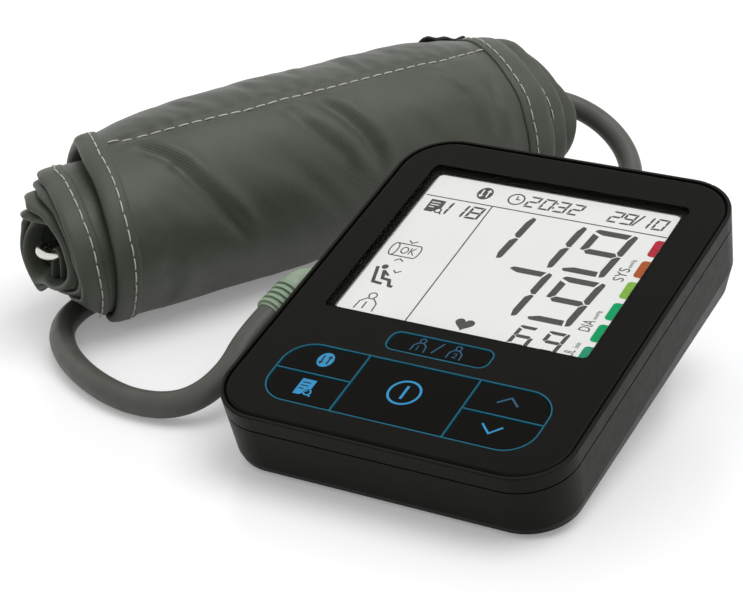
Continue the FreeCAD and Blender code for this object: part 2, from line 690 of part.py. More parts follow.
def batteries():
    middle = (BAY_FRONT + BAY_BACK) / 2
    cells = []
    for x, way in cell_places():
        base = middle - way * (CELL_LENGTH + CELL_TIP) / 2
        shoulder = base + way * CELL_LENGTH
        body = rod(CELL_RADIUS, V(x, base, cell_height()), V(x, shoulder, cell_height()))
        tip = rod(CELL_TIP_RADIUS, V(x, shoulder, cell_height()), V(x, shoulder + way * CELL_TIP, cell_height()))
        cells.append(body.fuse(tip).removeSplitter())
    return Part.makeCompound(cells)


def battery_contacts():
    """Bent leaf contacts that reach from the bay's end walls to the cells."""
    middle = (BAY_FRONT + BAY_BACK) / 2
    cell_end = (CELL_LENGTH + CELL_TIP) / 2
    wall_end = (BAY_BACK - BAY_FRONT) / 2
    leaves = []
    for x, _ in cell_places():
        for way in (-1, 1):
            wall = middle + way * wall_end
            nose = middle + way * (cell_end + CONTACT_THICKNESS)
            back = wall - way * CONTACT_THICKNESS
            low = cell_height() - CELL_RADIUS + CELL_LIFT
            high = cell_height() + CELL_RADIUS
            tip = nose - way * CONTACT_THICKNESS
            points = [(wall, low), (wall, high), (back, high), (tip, cell_height()), (nose, cell_height() - 2),
                      (back, low)]
            wire = Part.makePolygon([V(x - CONTACT_WIDTH / 2, y, z) for y, z in points + points[:1]])
            leaves.append(Part.Face(wire).extrude(V(CONTACT_WIDTH, 0, 0)))
    return Part.makeCompound(leaves)


def socket_end():
    return -HALF_WIDTH + BODY_DRAFT + SOCKET_LENGTH


def port_point(u, v=PORT_V):
    return V(u, v, PORT_W)


def air_socket():
    mouth = -HALF_WIDTH + BODY_DRAFT
    body = rod(SOCKET_RADIUS, port_point(mouth), port_point(socket_end()))
    shoulder = rod(SOCKET_RADIUS + WALL / 2, port_point(mouth + 2 * WALL), port_point(mouth + 3 * WALL))
    barb = rod(BARB_RADIUS, port_point(socket_end()), port_point(socket_end() + BARB_LENGTH))
    socket = fuse_all([body, shoulder, barb])
    return on_slope(socket.cut(rod(SOCKET_BORE, port_point(mouth), port_point(socket_end() - WALL / 2))))


def pump_port_end():
    rise = PORT_W - PUMP_W
    return PUMP_V - math.sqrt(PUMP_HEAD_RADIUS ** 2 - rise ** 2) - PUMP_PORT_REACH


def valve_end():
    return PORT_V - CROSS_REACH - BARB_LENGTH


def sensor_side():
    return CROSS_U + CROSS_REACH + BARB_LENGTH


def air_cross():
    """The fitting that joins the socket, the pump, the sensor and the release valve."""
    u_low, u_high = CROSS_U - CROSS_REACH, CROSS_U + CROSS_REACH
    v_low, v_high = PORT_V - CROSS_REACH, PORT_V + CROSS_REACH
    across = rod(BARB_RADIUS, port_point(u_low), port_point(u_high))
    along = rod(BARB_RADIUS, port_point(CROSS_U, v_low), port_point(CROSS_U, v_high))
    body = rod(CROSS_BODY_RADIUS, port_point(CROSS_U - BARB_LENGTH / 2), port_point(CROSS_U + BARB_LENGTH / 2))
    return on_slope(fuse_all([across, along, body]))


def air_tubes():
    """Soft tubes pushed over the barbs of the socket, the cross, the pump, the sensor and the valve."""
    grip = BARB_LENGTH - 1
    runs = [
        (port_point(socket_end()), port_point(CROSS_U - CROSS_REACH + grip)),
        (port_point(CROSS_U, PORT_V + CROSS_REACH - grip), port_point(CROSS_U, pump_port_end() + grip)),
        (port_point(CROSS_U + CROSS_REACH - grip), port_point(sensor_side())),
        (port_point(CROSS_U, PORT_V - CROSS_REACH + grip), port_point(CROSS_U, valve_end())),
    ]
    return Part.makeCompound([on_slope(tube(TUBE_RADIUS, BARB_RADIUS, start, end)) for start, end in runs])


def pressure_sensor():
    side = sensor_side()
    body = box((side, side + SENSOR_SIZE), (PORT_V - SENSOR_SIZE / 2, PORT_V + SENSOR_SIZE / 2),
               (BOARD_FLOOR - SENSOR_HEIGHT, BOARD_FLOOR))
    barb = rod(BARB_RADIUS, port_point(side - BARB_LENGTH + 1), port_point(side + 1))
    return on_slope(body.fuse(barb).removeSplitter())


def release_valve():
    end = valve_end()
    body = rod(VALVE_RADIUS, port_point(CROSS_U, end - VALVE_LENGTH), port_point(CROSS_U, end))
    barb = rod(BARB_RADIUS, port_point(CROSS_U, end - 1), port_point(CROSS_U, end + BARB_LENGTH - 1))
    pad = box((CROSS_U - VALVE_RADIUS, CROSS_U + VALVE_RADIUS), (end - VALVE_LENGTH, end), (PORT_W, BOARD_FLOOR))
    return on_slope(fuse_all([body, pad, barb]))


def pump_split():
    return CROSS_U + PUMP_HEAD_LENGTH / 2


def pump_head():
    start = V(CROSS_U - PUMP_HEAD_LENGTH / 2, PUMP_V, PUMP_W)
    head = rod(PUMP_HEAD_RADIUS, start, V(pump_split(), PUMP_V, PUMP_W))
    port = rod(BARB_RADIUS, port_point(CROSS_U, pump_port_end()), port_point(CROSS_U, PUMP_V))
    return on_slope(head.fuse(port).removeSplitter())


def pump_motor():
    start = V(pump_split(), PUMP_V, PUMP_W)
    end = V(pump_split() + PUMP_MOTOR_LENGTH, PUMP_V, PUMP_W)
    motor = rod(PUMP_MOTOR_RADIUS, start, end)
    boss = rod(BARB_RADIUS, end, end + V(BARB_RADIUS, 0, 0))
    return on_slope(motor.fuse(boss).removeSplitter())


def pump_cushion():
    """The foam block under the motor, shaped to it, on the battery bay's ceiling."""
    middle = slope_point(pump_split() + PUMP_MOTOR_LENGTH / 2, PUMP_V, PUMP_W)
    floor = BAY_CEILING + BAY_WALL
    top = middle.z - PUMP_MOTOR_RADIUS + CUSHION_WRAP
    block = box((middle.x - CUSHION_WIDTH / 2, middle.x + CUSHION_WIDTH / 2),
                (middle.y - CUSHION_DEPTH / 2, middle.y + CUSHION_DEPTH / 2), (floor, top))
    return block.cut(rod(PUMP_MOTOR_RADIUS, middle - V(FAR, 0, 0), middle + V(FAR, 0, 0)))


def plug_corner():
    return slope_point(-HALF_WIDTH - PLUG_GAP, PORT_V, PORT_W) - V(PLUG_REACH, 0, 0)


def hose_start():
    """The end of the plug's strain relief, where the hose begins, and the way that it points."""
    way = (V(*HOSE_LOOP[0]) - plug_corner()).normalize()
    return plug_corner() + way * (ELBOW_RADIUS + RELIEF_LENGTH), way


def air_connector():
    mouth = slope_point(-HALF_WIDTH - PLUG_GAP, PORT_V, PORT_W)
    corner = plug_corner()
    _, way = hose_start()
    elbow_wire = rounded_path([mouth, corner, corner + way * ELBOW_RADIUS], [ELBOW_RADIUS * 0.8])
    elbow = swept_rod(elbow_wire, PLUG_RADIUS)
    collar = rod(PLUG_COLLAR_RADIUS, mouth, mouth - V(PLUG_COLLAR, 0, 0))
    spigot = rod(SPIGOT_RADIUS, mouth - V(1, 0, 0), mouth + V(SPIGOT_LENGTH, 0, 0))
    plug = fuse_all([elbow, collar, spigot])
    return plug.cut(rod(SPIGOT_BORE, mouth, mouth + V(SPIGOT_LENGTH + 1, 0, 0)))


def strain_relief():
    """Ribbed sleeve between the plug's elbow and the hose."""
    end, way = hose_start()
    start = end - way * RELIEF_LENGTH
    step = RELIEF_LENGTH / (2 * RELIEF_RIBS)
    rings = []
    for index in range(2 * RELIEF_RIBS):
        radius = RELIEF_VALLEY_RADIUS if index % 2 else RELIEF_RIB_RADIUS
        rings.append(rod(radius, start + way * (step * index), start + way * (step * (index + 1))))
    return fuse_all(rings)


def rounded_path(points, radii):
    """Straight runs joined by tangent arcs, one radius for each inner point."""
    edges = []
    last = points[0]
    for index, radius in enumerate(radii):
        before, corner, after = points[index:index + 3]
        way_in = (corner - before).normalize()
        way_out = (after - corner).normalize()
        half_turn = way_in.getAngle(way_out) / 2
        reach = radius * math.tan(half_turn)
        start, end = corner - way_in * reach, corner + way_out * reach
        inward = (way_out - way_in).normalize()
        middle = corner + inward * (radius / math.cos(half_turn) - radius)
        edges.append(Part.LineSegment(last, start).toShape())
        edges.append(Part.Arc(start, middle, end).toShape())
        last = end
    edges.append(Part.LineSegment(last, points[-1]).toShape())
    return Part.Wire(edges)


def swept_rod(wire, radius):
    first = wire.Edges[0]
    way = first.tangentAt(first.FirstParameter)
    circle = Part.Wire(Part.makeCircle(radius, first.valueAt(first.FirstParameter), way))
    return wire.makePipeShell([circle], True, False)


def hose_points():
    start, _ = hose_start()
    loop = [V(*point) for point in HOSE_LOOP]
    under = [cuff_point(*point) for point in HOSE_UNDER_CUFF]
    end = cuff_point(NIPPLE_END, 0.0, TURNS_HEIGHT)
    return [start] + loop + under + [end]


def hose_radii(points):
    """As large an arc at each point as its two runs allow."""
    radii = []
    for before, corner, after in zip(points, points[1:], points[2:]):
        half_turn = (corner - before).getAngle(after - corner) / 2
        shorter = min((corner - before).Length, (after - corner).Length)
        radii.append(HOSE_ARC_SHARE * shorter / math.tan(half_turn))
    return radii


def hose():
    points = hose_points()
    radii = hose_radii(points)
    wire = rounded_path(points, radii)
    solid = swept_rod(wire, HOSE_RADIUS)
    section = math.pi * HOSE_RADIUS ** 2
    print("hose radii", [round(radius) for radius in radii])
    print("hose length", round(wire.Length, 1), "volume share", round(solid.Volume / section / wire.Length, 4))
    return solid


def hose_nipple():
    """The port that the hose is bonded to, in the roll's bore."""
    start = V(NIPPLE_START, 0, TURNS_HEIGHT)
    shoulder = V(NIPPLE_START + NIPPLE_FLANGE, 0, TURNS_HEIGHT)
    flange = rod(TURN_BORE - LAYER_GAP, start, shoulder)
    neck = rod(NIPPLE_RADIUS, shoulder, V(NIPPLE_END, 0, TURNS_HEIGHT))
    return in_cuff(flange.fuse(neck).removeSplitter())


def skewed_ends(left, right):
    """A prism that trims the roll: its ends lean across the roll."""
    points = [(left - LEFT_SKEW * FAR, -FAR), (right + RIGHT_SKEW * FAR, -FAR),
              (right - RIGHT_SKEW * FAR, FAR), (left + LEFT_SKEW * FAR, FAR)]
    wire = Part.makePolygon([V(s, y, -1) for s, y in points + points[:1]])
    return Part.Face(wire).extrude(V(0, 0, FAR))


def hose_channel():
    """The room under the roll's right end where the hose comes in from the side."""
    clear = HOSE_RADIUS + HOSE_CLEARANCE
    points = [(CHANNEL_START_S, 2 * clear), (FAR, 2 * clear), (FAR, -FAR), (CHANNEL_END_S, -FAR),
              (CHANNEL_BEND_S, CHANNEL_BEND_Y), (CHANNEL_START_S, -2 * clear)]
    wire = Part.makePolygon([V(s, y, -1) for s, y in points + points[:1]])
    return Part.Face(wire).extrude(V(0, 0, 1 + 2 * HOSE_RADIUS + HOSE_CLEARANCE))


def roll_layer(outer, thickness, open_angle, left, right):
    """One layer round the roll, open at the bottom by an angle to each side."""
    axis = V(1, 0, 0)
    edges = []
    ends = []
    for radius in (outer, outer - thickness):
        circle = Part.Circle(V(-FAR, 0, CUFF_HEIGHT), axis, radius)
        bottom = V(-FAR, 0, CUFF_HEIGHT - radius)
        start_at = circle.parameter(bottom) + math.radians(open_angle)
        end_at = circle.parameter(bottom) - math.radians(open_angle) + 2 * math.pi
        edges.append(Part.ArcOfCircle(circle, start_at, end_at).toShape())
        ends.append((circle.value(start_at), circle.value(end_at)))
    edges.append(Part.makeLine(ends[0][0], ends[1][0]))
    edges.append(Part.makeLine(ends[0][1], ends[1][1]))
    face = Part.Face(Part.Wire(Part.__sortEdges__(edges)))
    layer = face.extrude(V(2 * FAR, 0, 0))
    return in_cuff(layer.common(skewed_ends(left, right)).cut(hose_channel()))


def cuff_outer_fabric():
    return roll_layer(CUFF_RADIUS, FABRIC_THICKNESS, CUFF_FOLD_ANGLE, OUTER_LEFT, OUTER_RIGHT)


def cuff_bladder():
    outer = CUFF_RADIUS - FABRIC_THICKNESS - LAYER_GAP
    return roll_layer(outer, BLADDER_THICKNESS, 180 - BLADDER_ANGLE, BLADDER_LEFT, BLADDER_RIGHT)


def cuff_lining():
    return roll_layer(LINING_RADIUS, LINING_THICKNESS, LINING_FOLD_ANGLE, LINING_LEFT, LINING_RIGHT)


def half_turn_arcs(first_radius):
    """Half circles on two centres that wind outwards, one after the other."""
    arcs = []
    for index in range(HALF_TURNS):
        radius = first_radius + index * TURN_PITCH / 2
        shift = -TURN_PITCH / 2 * (index % 2)
        way = 1 - 2 * (index % 2)
        points = [V(-FAR, shift - way * radius, TURNS_HEIGHT),
                  V(-FAR, shift, TURNS_HEIGHT + way * radius),
                  V(-FAR, shift + way * radius, TURNS_HEIGHT)]
        arcs.append(Part.Arc(*points).toShape())
    return arcs


def cuff_inner_turns():
    """The rest of the cuff, wound into a spiral."""
    inner = half_turn_arcs(TURN_BORE)
    outer = half_turn_arcs(TURN_BORE + TURN_THICKNESS)
    caps = [Part.makeLine(inner[0].Vertexes[0].Point, outer[0].Vertexes[0].Point),
            Part.makeLine(inner[-1].Vertexes[-1].Point, outer[-1].Vertexes[-1].Point)]
    face = Part.Face(Part.Wire(Part.__sortEdges__(inner + outer + caps)))
    turns = face.extrude(V(2 * FAR, 0, 0)).common(skewed_ends(TURNS_LEFT, TURNS_RIGHT))
    return in_cuff(turns)


def cuff_slip_ring():
    """The wire loop that the cuff's free end is drawn through, lying in the roll's bore."""
    side = RING_WIDTH / 2
    drop = math.sqrt((TURN_BORE - RING_WIRE_RADIUS - LAYER_GAP) ** 2 - side ** 2)
    height = TURNS_HEIGHT - drop
    left, right = RING_LEFT + side, RING_LEFT + RING_LENGTH - side
    edges = [
        Part.LineSegment(V(left, -side, height), V(right, -side, height)).toShape(),
        Part.Arc(V(right, -side, height), V(right + side, 0, height), V(right, side, height)).toShape(),
        Part.LineSegment(V(right, side, height), V(left, side, height)).toShape(),
        Part.Arc(V(left, side, height), V(left - side, 0, height), V(left, -side, height)).toShape(),
    ]
    return in_cuff(swept_rod(Part.Wire(edges), RING_WIRE_RADIUS))


def build():
    nodes = {
        "top_housing": top_housing(),
        "bottom_housing": bottom_housing(),
        "front_panel": front_panel(),
        "display_lens": display_lens(),
        "lcd_module": lcd_module(),
        "lcd_frame": lcd_frame(),
        "main_board": main_board(),
        "keypad_membrane": keypad_membrane(),
        "key_frame": on_slope(key_frame()),
        "user_key_ring": on_slope(user_key_ring()),
        "key_user": on_slope(key_user()),
        "board_screws": board_screws(),
        "housing_screws": housing_screws(),
        "rubber_feet": rubber_feet(),
        "battery_door": battery_door(),
        "batteries": batteries(),
        "battery_contacts": battery_contacts(),
        "air_socket": air_socket(),
        "air_cross": air_cross(),
        "air_tubes": air_tubes(),
        "pressure_sensor": pressure_sensor(),
        "release_valve": release_valve(),
        "pump_head": pump_head(),
        "pump_motor": pump_motor(),
        "pump_cushion": pump_cushion(),
        "air_connector": air_connector(),
        "strain_relief": strain_relief(),
        "hose": hose(),
        "hose_nipple": hose_nipple(),
        "cuff_outer_fabric": cuff_outer_fabric(),
        "cuff_bladder": cuff_bladder(),
        "cuff_lining": cuff_lining(),
        "cuff_inner_turns": cuff_inner_turns(),
        "cuff_slip_ring": cuff_slip_ring(),
    }
    for name in CLUSTER_CELLS:
        nodes[name] = on_slope(cluster_key(name))
    return nodes


os.makedirs("parts", exist_ok=True)
for node_name, node_shape in build().items():
    node_shape.exportStep("parts/" + node_name + ".step")
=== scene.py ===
import math

import bmesh
import bpy
from mathutils import Matrix, Vector, noise

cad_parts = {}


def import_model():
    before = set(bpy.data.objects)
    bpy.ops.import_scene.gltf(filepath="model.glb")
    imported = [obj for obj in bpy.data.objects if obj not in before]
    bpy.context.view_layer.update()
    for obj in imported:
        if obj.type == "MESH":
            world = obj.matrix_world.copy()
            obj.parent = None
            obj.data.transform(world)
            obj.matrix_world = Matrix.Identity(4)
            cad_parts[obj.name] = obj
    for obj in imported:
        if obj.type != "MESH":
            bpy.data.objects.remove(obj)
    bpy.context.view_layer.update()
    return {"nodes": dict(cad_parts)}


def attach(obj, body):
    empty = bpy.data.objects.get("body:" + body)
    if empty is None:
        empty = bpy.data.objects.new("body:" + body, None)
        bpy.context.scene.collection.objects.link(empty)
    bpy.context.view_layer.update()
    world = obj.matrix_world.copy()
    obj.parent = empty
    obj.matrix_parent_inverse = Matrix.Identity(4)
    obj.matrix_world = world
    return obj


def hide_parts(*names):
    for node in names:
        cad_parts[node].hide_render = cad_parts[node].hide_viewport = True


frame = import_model()

# All sizes are millimetres, in the part's frame, the panel's frame (u right, v up the slope,
# w out of the panel) or the cuff's frame (s along the roll, y across it, z up). Angles are degrees.
MM = 0.001

# Camera
CAMERA_PLACE = (292.49, -547.63, 314.93)
CAMERA_RIGHT = (0.864151, 0.502243, -0.031543)
CAMERA_DOWN = (0.179391, -0.366007, -0.913158)
CAMERA_FORWARD = (-0.470172, 0.783448, -0.406383)
CAMERA_LENS = 115.63

# Panel frame
TILT = math.radians(16.0)
PANEL_HEIGHT = 39.8
LCD_FACE = -1.9
KEY_FACE = -0.1
LCD_LEFT, LCD_RIGHT, LCD_BOTTOM = -39.9, 39.9, -15.4
PRINT_BOTTOM = LCD_BOTTOM + 0.1
PRINT_RISE = 0.04
GAP_RISE = 0.02

# Cuff frame and its layers
CUFF_X, CUFF_Y = -125.7, 55.2
CUFF_TURN = math.radians(66.3)
WRAP_HEIGHT = 30.07
WRAP_RADIUS = 32.0
WRAP_THICKNESS = 2.6
TURNS_HEIGHT = 33.2
NIPPLE_END = 112.0

# Air hose: the route's points, in the part's frame and in the cuff's frame
HOSE_RADIUS = 4.0
HOSE_START = (-65.8, -9.9, 24.1)
HOSE_LOOP = [
    (-67.0, -20.5, 20.5), (-67.0, -29.8, 14.5), (-71.8, -38.0, 8.6), (-80.2, -42.6, 5.3),
    (-93.0, -43.2, 4.05), (-106.0, -40.0, 4.05), (-119.5, -33.5, 4.05), (-132.2, -24.5, 4.05),
    (-142.8, -12.8, 4.05), (-148.0, -0.2, 4.05), (-148.6, 13.0, 4.05), (-144.0, 26.0, 4.05),
]
HOSE_UNDER_CUFF = [
    (-13.0, 1.0, 4.05), (17.0, -1.0, 4.05), (40.0, 1.5, 4.05), (59.0, 0.0, 4.05),
    (73.0, -5.5, 4.05), (83.5, -16.0, 4.05), (91.0, -29.5, 4.05), (99.0, -42.0, 4.05),
    (112.5, -50.1, 4.05), (128.5, -50.1, 4.05), (142.5, -43.4, 8.5), (150.5, -31.8, 16.0),
    (150.5, -18.3, 24.0), (142.5, -6.7, 30.4), (128.5, 0.0, TURNS_HEIGHT),
]


def panel_point(u, v, w):
    """A point of the panel frame, in the part's frame."""
    y = v * math.cos(TILT) - w * math.sin(TILT)
    z = PANEL_HEIGHT + v * math.sin(TILT) + w * math.cos(TILT)
    return Vector((u, y, z))


def cuff_point(s, y, z):
    """A point of the cuff's frame, in the part's frame."""
    x_part = CUFF_X + s * math.cos(CUFF_TURN) - y * math.sin(CUFF_TURN)
    y_part = CUFF_Y + s * math.sin(CUFF_TURN) + y * math.cos(CUFF_TURN)
    return Vector((x_part, y_part, z))


def smoothstep(low, high, value):
    share = min(max((value - low) / (high - low), 0.0), 1.0)
    return share * share * (3 - 2 * share)


def interpolate(points, x):
    """The height of a line through (x, y) points, level beyond its ends."""
    if x <= points[0][0]:
        return points[0][1]
    for (x_from, y_from), (x_to, y_to) in zip(points, points[1:]):
        if x <= x_to:
            return y_from + (y_to - y_from) * (x - x_from) / (x_to - x_from)
    return points[-1][1]


def srgb(red, green, blue):
    """A colour written as it looks on a screen, for a shader's socket."""
    def linear(value):
        share = value / 255
        return share / 12.92 if share <= 0.04045 else ((share + 0.055) / 1.055) ** 2.4
    return linear(red), linear(green), linear(blue), 1.0


# Materials: scales of noise are cells per metre, and depths of bumps are metres

def new_material(name, colour, roughness, specular=0.5, metallic=0.0, alpha=1.0):
    """A material, with its node tree and the sockets of its shader."""
    material = bpy.data.materials.new(name)
    material.use_nodes = True
    sockets = material.node_tree.nodes["Principled BSDF"].inputs
    sockets["Base Color"].default_value = colour
    sockets["Roughness"].default_value = roughness
    sockets["Specular IOR Level"].default_value = specular
    sockets["Metallic"].default_value = metallic
    sockets["Alpha"].default_value = alpha
    return material, material.node_tree, sockets


def add_node(tree, kind, **inputs):
    node = tree.nodes.new(kind)
    for name, value in inputs.items():
        node.inputs[name.replace("_", " ")].default_value = value
    return node


def coordinates(tree, kind):
    return tree.nodes.new("ShaderNodeTexCoord").outputs[kind]


def noise_texture(tree, place, scale, detail=3.0):
    texture = add_node(tree, "ShaderNodeTexNoise", Scale=scale, Detail=detail)
    tree.links.new(place, texture.inputs["Vector"])
    return texture.outputs["Fac"]


def grey(value):
    return value, value, value, 1.0


def tints(colour, share):
    """A colour that is darker by a share, and one that is lighter."""
    return [tuple(channel * factor for channel in colour[:3]) + (1.0,) for factor in (1 - share, 1 + share)]


def ramp(tree, value, low, high, low_at=0.3, high_at=0.7):
    """Two colours, or two greys, spread over a value."""
    node = tree.nodes.new("ShaderNodeValToRGB")
    ends = node.color_ramp.elements
    ends[0].position, ends[1].position = low_at, high_at
    ends[0].color, ends[1].color = low, high
    tree.links.new(value, node.inputs["Fac"])
    return node.outputs["Color"]


def add_bump(tree, sockets, height, depth, strength=1.0, below=None):
    bump = add_node(tree, "ShaderNodeBump", Strength=strength, Distance=depth)
    tree.links.new(height, bump.inputs["Height"])
    if below is not None:
        tree.links.new(below, bump.inputs["Normal"])
    tree.links.new(bump.outputs["Normal"], sockets["Normal"])
    return bump.outputs["Normal"]


def finish(name, colour, roughness, patches=None, gloss=None, grain=None, **shine):
    """A material that noise varies.

    Patches are a scale and two colours, gloss is a scale and two levels of roughness, and grain is
    a scale, a detail and a depth.
    """
    material, tree, sockets = new_material(name, colour, roughness, **shine)
    place = coordinates(tree, "Object")
    if patches:
        scale, low, high = patches
        tree.links.new(ramp(tree, noise_texture(tree, place, scale), low, high), sockets["Base Color"])
    if gloss:
        scale, low, high = gloss
        levels = ramp(tree, noise_texture(tree, place, scale), grey(low), grey(high))
        tree.links.new(levels, sockets["Roughness"])
    if grain:
        scale, detail, depth = grain
        add_bump(tree, sockets, noise_texture(tree, place, scale, detail), depth)
    return material


def moulded(name, colour, roughness, specular=0.5, grain=2600.0, depth=0.00003, spread=0.06, vary=0.12):
    """Moulded plastic or rubber: a fine grain, with patches of slightly other colour and gloss."""
    return finish(name, colour, roughness, patches=(90.0, *tints(colour, vary)),
                  gloss=(240.0, roughness - spread, roughness + spread), grain=(grain, 2.0, depth),
                  specular=specular)


def steel(name, colour, roughness):
    return finish(name, colour, roughness, gloss=(700.0, roughness - 0.08, roughness + 0.1),
                  grain=(1800.0, 3.0, 0.00001), metallic=1.0)


def printed(name, colour, specular=0.3):
    """Flat ink or a lit segment, a little uneven."""
    return finish(name, colour, 0.45, patches=(600.0, *tints(colour, 0.06)), specular=specular)


UV_UNIT = 10.0
TWILL_SCALE = 4.0
TWILL_LEAN = math.radians(38.0)


def twill_ribs(tree, place):
    """Slanted ribs of thread, as a value."""
    turned = add_node(tree, "ShaderNodeMapping", Rotation=(0.0, 0.0, TWILL_LEAN))
    tree.links.new(place, turned.inputs["Vector"])
    ribs = add_node(tree, "ShaderNodeTexWave", Scale=TWILL_SCALE, Distortion=1.2, Detail=2.0,
                    Detail_Scale=2.5)
    tree.links.new(turned.outputs["Vector"], ribs.inputs["Vector"])
    return ribs.outputs["Fac"]


def multiplied(tree, one, two):
    """Two colours, multiplied."""
    mixed = tree.nodes.new("ShaderNodeMix")
    mixed.data_type = "RGBA"
    mixed.blend_type = "MULTIPLY"
    mixed.inputs["Factor"].default_value = 1.0
    tree.links.new(one, mixed.inputs["A"])
    tree.links.new(two, mixed.inputs["B"])
    return mixed.outputs["Result"]


def fabric(name, colour, roughness, sheen):
    """Satin twill: slanted ribs of thread, uneven threads and patches of faded colour."""
    material, tree, sockets = new_material(name, colour, roughness, specular=0.35)
    sockets["Sheen Weight"].default_value = sheen
    sockets["Sheen Roughness"].default_value = 0.45
    place = coordinates(tree, "UV")
    ribs = twill_ribs(tree, place)
    threads = noise_texture(tree, place, scale=26.0, detail=4.0)
    patches = noise_texture(tree, coordinates(tree, "Object"), scale=38.0)
    faded = ramp(tree, patches, *tints(colour, 0.1))
    ribbed = ramp(tree, ribs, grey(0.8), grey(1.12), low_at=0.1, high_at=0.9)
    tree.links.new(multiplied(tree, faded, ribbed), sockets["Base Color"])
    levels = ramp(tree, threads, grey(roughness - 0.08), grey(roughness + 0.1))
    tree.links.new(levels, sockets["Roughness"])
    coarse = add_bump(tree, sockets, ribs, depth=0.00004)
    add_bump(tree, sockets, threads, depth=0.00006, strength=0.6, below=coarse)
    return material


BODY = moulded("body_plastic", srgb(18, 17, 13), 0.42, 0.09, spread=0.03, vary=0.05)
PANEL = moulded("panel_plastic", srgb(12, 11, 8), 0.4, 0.06, depth=0.00001, spread=0.03, vary=0.05)
KEYS = moulded("key_plastic", srgb(9, 8, 6), 0.25, 0.04, depth=0.000005, spread=0.03, vary=0.05)
TRIM = moulded("trim_blue", srgb(20, 92, 113), 0.35, 0.15, depth=0.00001)
INNER = moulded("inner_plastic", srgb(196, 194, 186), 0.5)
BOARD = moulded("board_resin", srgb(38, 92, 58), 0.5)
MEMBRANE = moulded("membrane_rubber", srgb(150, 150, 146), 0.6)
FOOT = moulded("foot_rubber", srgb(38, 38, 38), 0.75, 0.25)
CELL = moulded("cell_jacket", srgb(52, 84, 118), 0.4)
PLUG = moulded("plug_plastic", srgb(142, 160, 138), 0.45, 0.4)
RELIEF = moulded("plug_rubber", srgb(138, 157, 134), 0.5, 0.4)
HOSE = moulded("hose_rubber", srgb(78, 78, 73), 0.48, 0.35, depth=0.00002)
RUBBER = moulded("bladder_rubber", srgb(70, 70, 68), 0.6)
STEEL = steel("screw_steel", srgb(170, 170, 168), 0.35)
RING_STEEL = steel("ring_steel", srgb(214, 212, 206), 0.24)
LENS = finish("clear_lens", srgb(60, 63, 63), 0.06, gloss=(45.0, 0.05, 0.1), specular=0.2, alpha=0.02)
LCD = finish("lcd_glass", srgb(241, 242, 239), 0.4, patches=(30.0, srgb(239, 240, 237), srgb(243, 244, 241)),
             grain=(3000.0, 3.0, 0.000005), specular=0.3)
FABRIC = fabric("cuff_fabric", srgb(67, 71, 61), 0.42, 0.01)
BINDING = fabric("cuff_binding", srgb(68, 72, 62), 0.5, 0.03)
THREAD = moulded("stitch_thread", srgb(188, 188, 178), 0.6, 0.3, 4000.0, 0.00005)
HOOK_TAPE = moulded("hook_tape", srgb(58, 60, 56), 0.8, 0.2, 1500.0, 0.0002)
SEGMENT = printed("lcd_segment", srgb(72, 71, 66))
LCD_PALE = printed("lcd_pale", srgb(240, 241, 238))
KEY_PRINT = printed("key_print", srgb(38, 142, 194))
KEY_PRINT_DIM = printed("key_print_dim", srgb(20, 80, 108))
KEY_PRINT_DARK = printed("key_print_dark", srgb(16, 24, 30))

NODE_MATERIALS = [
    (BODY, "top_housing bottom_housing battery_door"), (PANEL, "front_panel"), (LENS, "display_lens"),
    (LCD, "lcd_module"), (BOARD, "main_board"), (MEMBRANE, "keypad_membrane"), (FOOT, "rubber_feet"),
    (TRIM, "key_frame user_key_ring"), (CELL, "batteries"), (PLUG, "air_connector"),
    (RELIEF, "strain_relief"), (HOSE, "hose"), (RING_STEEL, "cuff_slip_ring"),
    (KEYS, "key_user key_transfer key_memory key_start_stop key_up key_down"),
    (STEEL, "board_screws housing_screws battery_contacts release_valve pump_motor"),
    (INNER, "lcd_frame air_socket air_cross pressure_sensor pump_head hose_nipple"),
    (RUBBER, "air_tubes pump_cushion cuff_bladder"),
    (FABRIC, "cuff_outer_fabric cuff_lining cuff_inner_turns"),
]


def dress_nodes():
    for material, names in NODE_MATERIALS:
        for name in names.split():
            mesh = frame["nodes"][name].data
            mesh.materials.clear()
            mesh.materials.append(material)


# Pieces

def add_object(name, data):
    made = bpy.data.objects.new(name, data)
    bpy.context.scene.collection.objects.link(made)
    return made


def new_piece(name, points, faces, material, body, smooth=True):
    """A mesh piece from points in millimetres. It rides on a body."""
    mesh = bpy.data.meshes.new(name)
    mesh.from_pydata([Vector(point) * MM for point in points], [], faces)
    mesh.validate()
    work = bmesh.new()
    work.from_mesh(mesh)
    bmesh.ops.recalc_face_normals(work, faces=work.faces)
    work.to_mesh(mesh)
    work.free()
    if smooth:
        mesh.shade_smooth()
    mesh.materials.append(material)
    piece = add_object(name, mesh)
    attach(piece, body)
    return piece


# Flat shapes: each is a list of (u, v) points and a list of faces

def polygon(points):
    return list(points), [tuple(range(len(points)))]


def rectangle(left, bottom, right, top):
    return polygon([(left, bottom), (right, bottom), (right, top), (left, top)])


def arc(centre, radius, start, end, steps=16, stretch=1.0):
    """Points on an arc, from one angle to another."""
    points = []
    for index in range(steps + 1):
        angle = math.radians(start + (end - start) * index / steps)
        points.append((centre[0] + radius * math.cos(angle), centre[1] + stretch * radius * math.sin(angle)))
    return points


def disc(centre, radius, stretch=1.0):
    return polygon(arc(centre, radius, 0, 360, 36, stretch)[:-1])


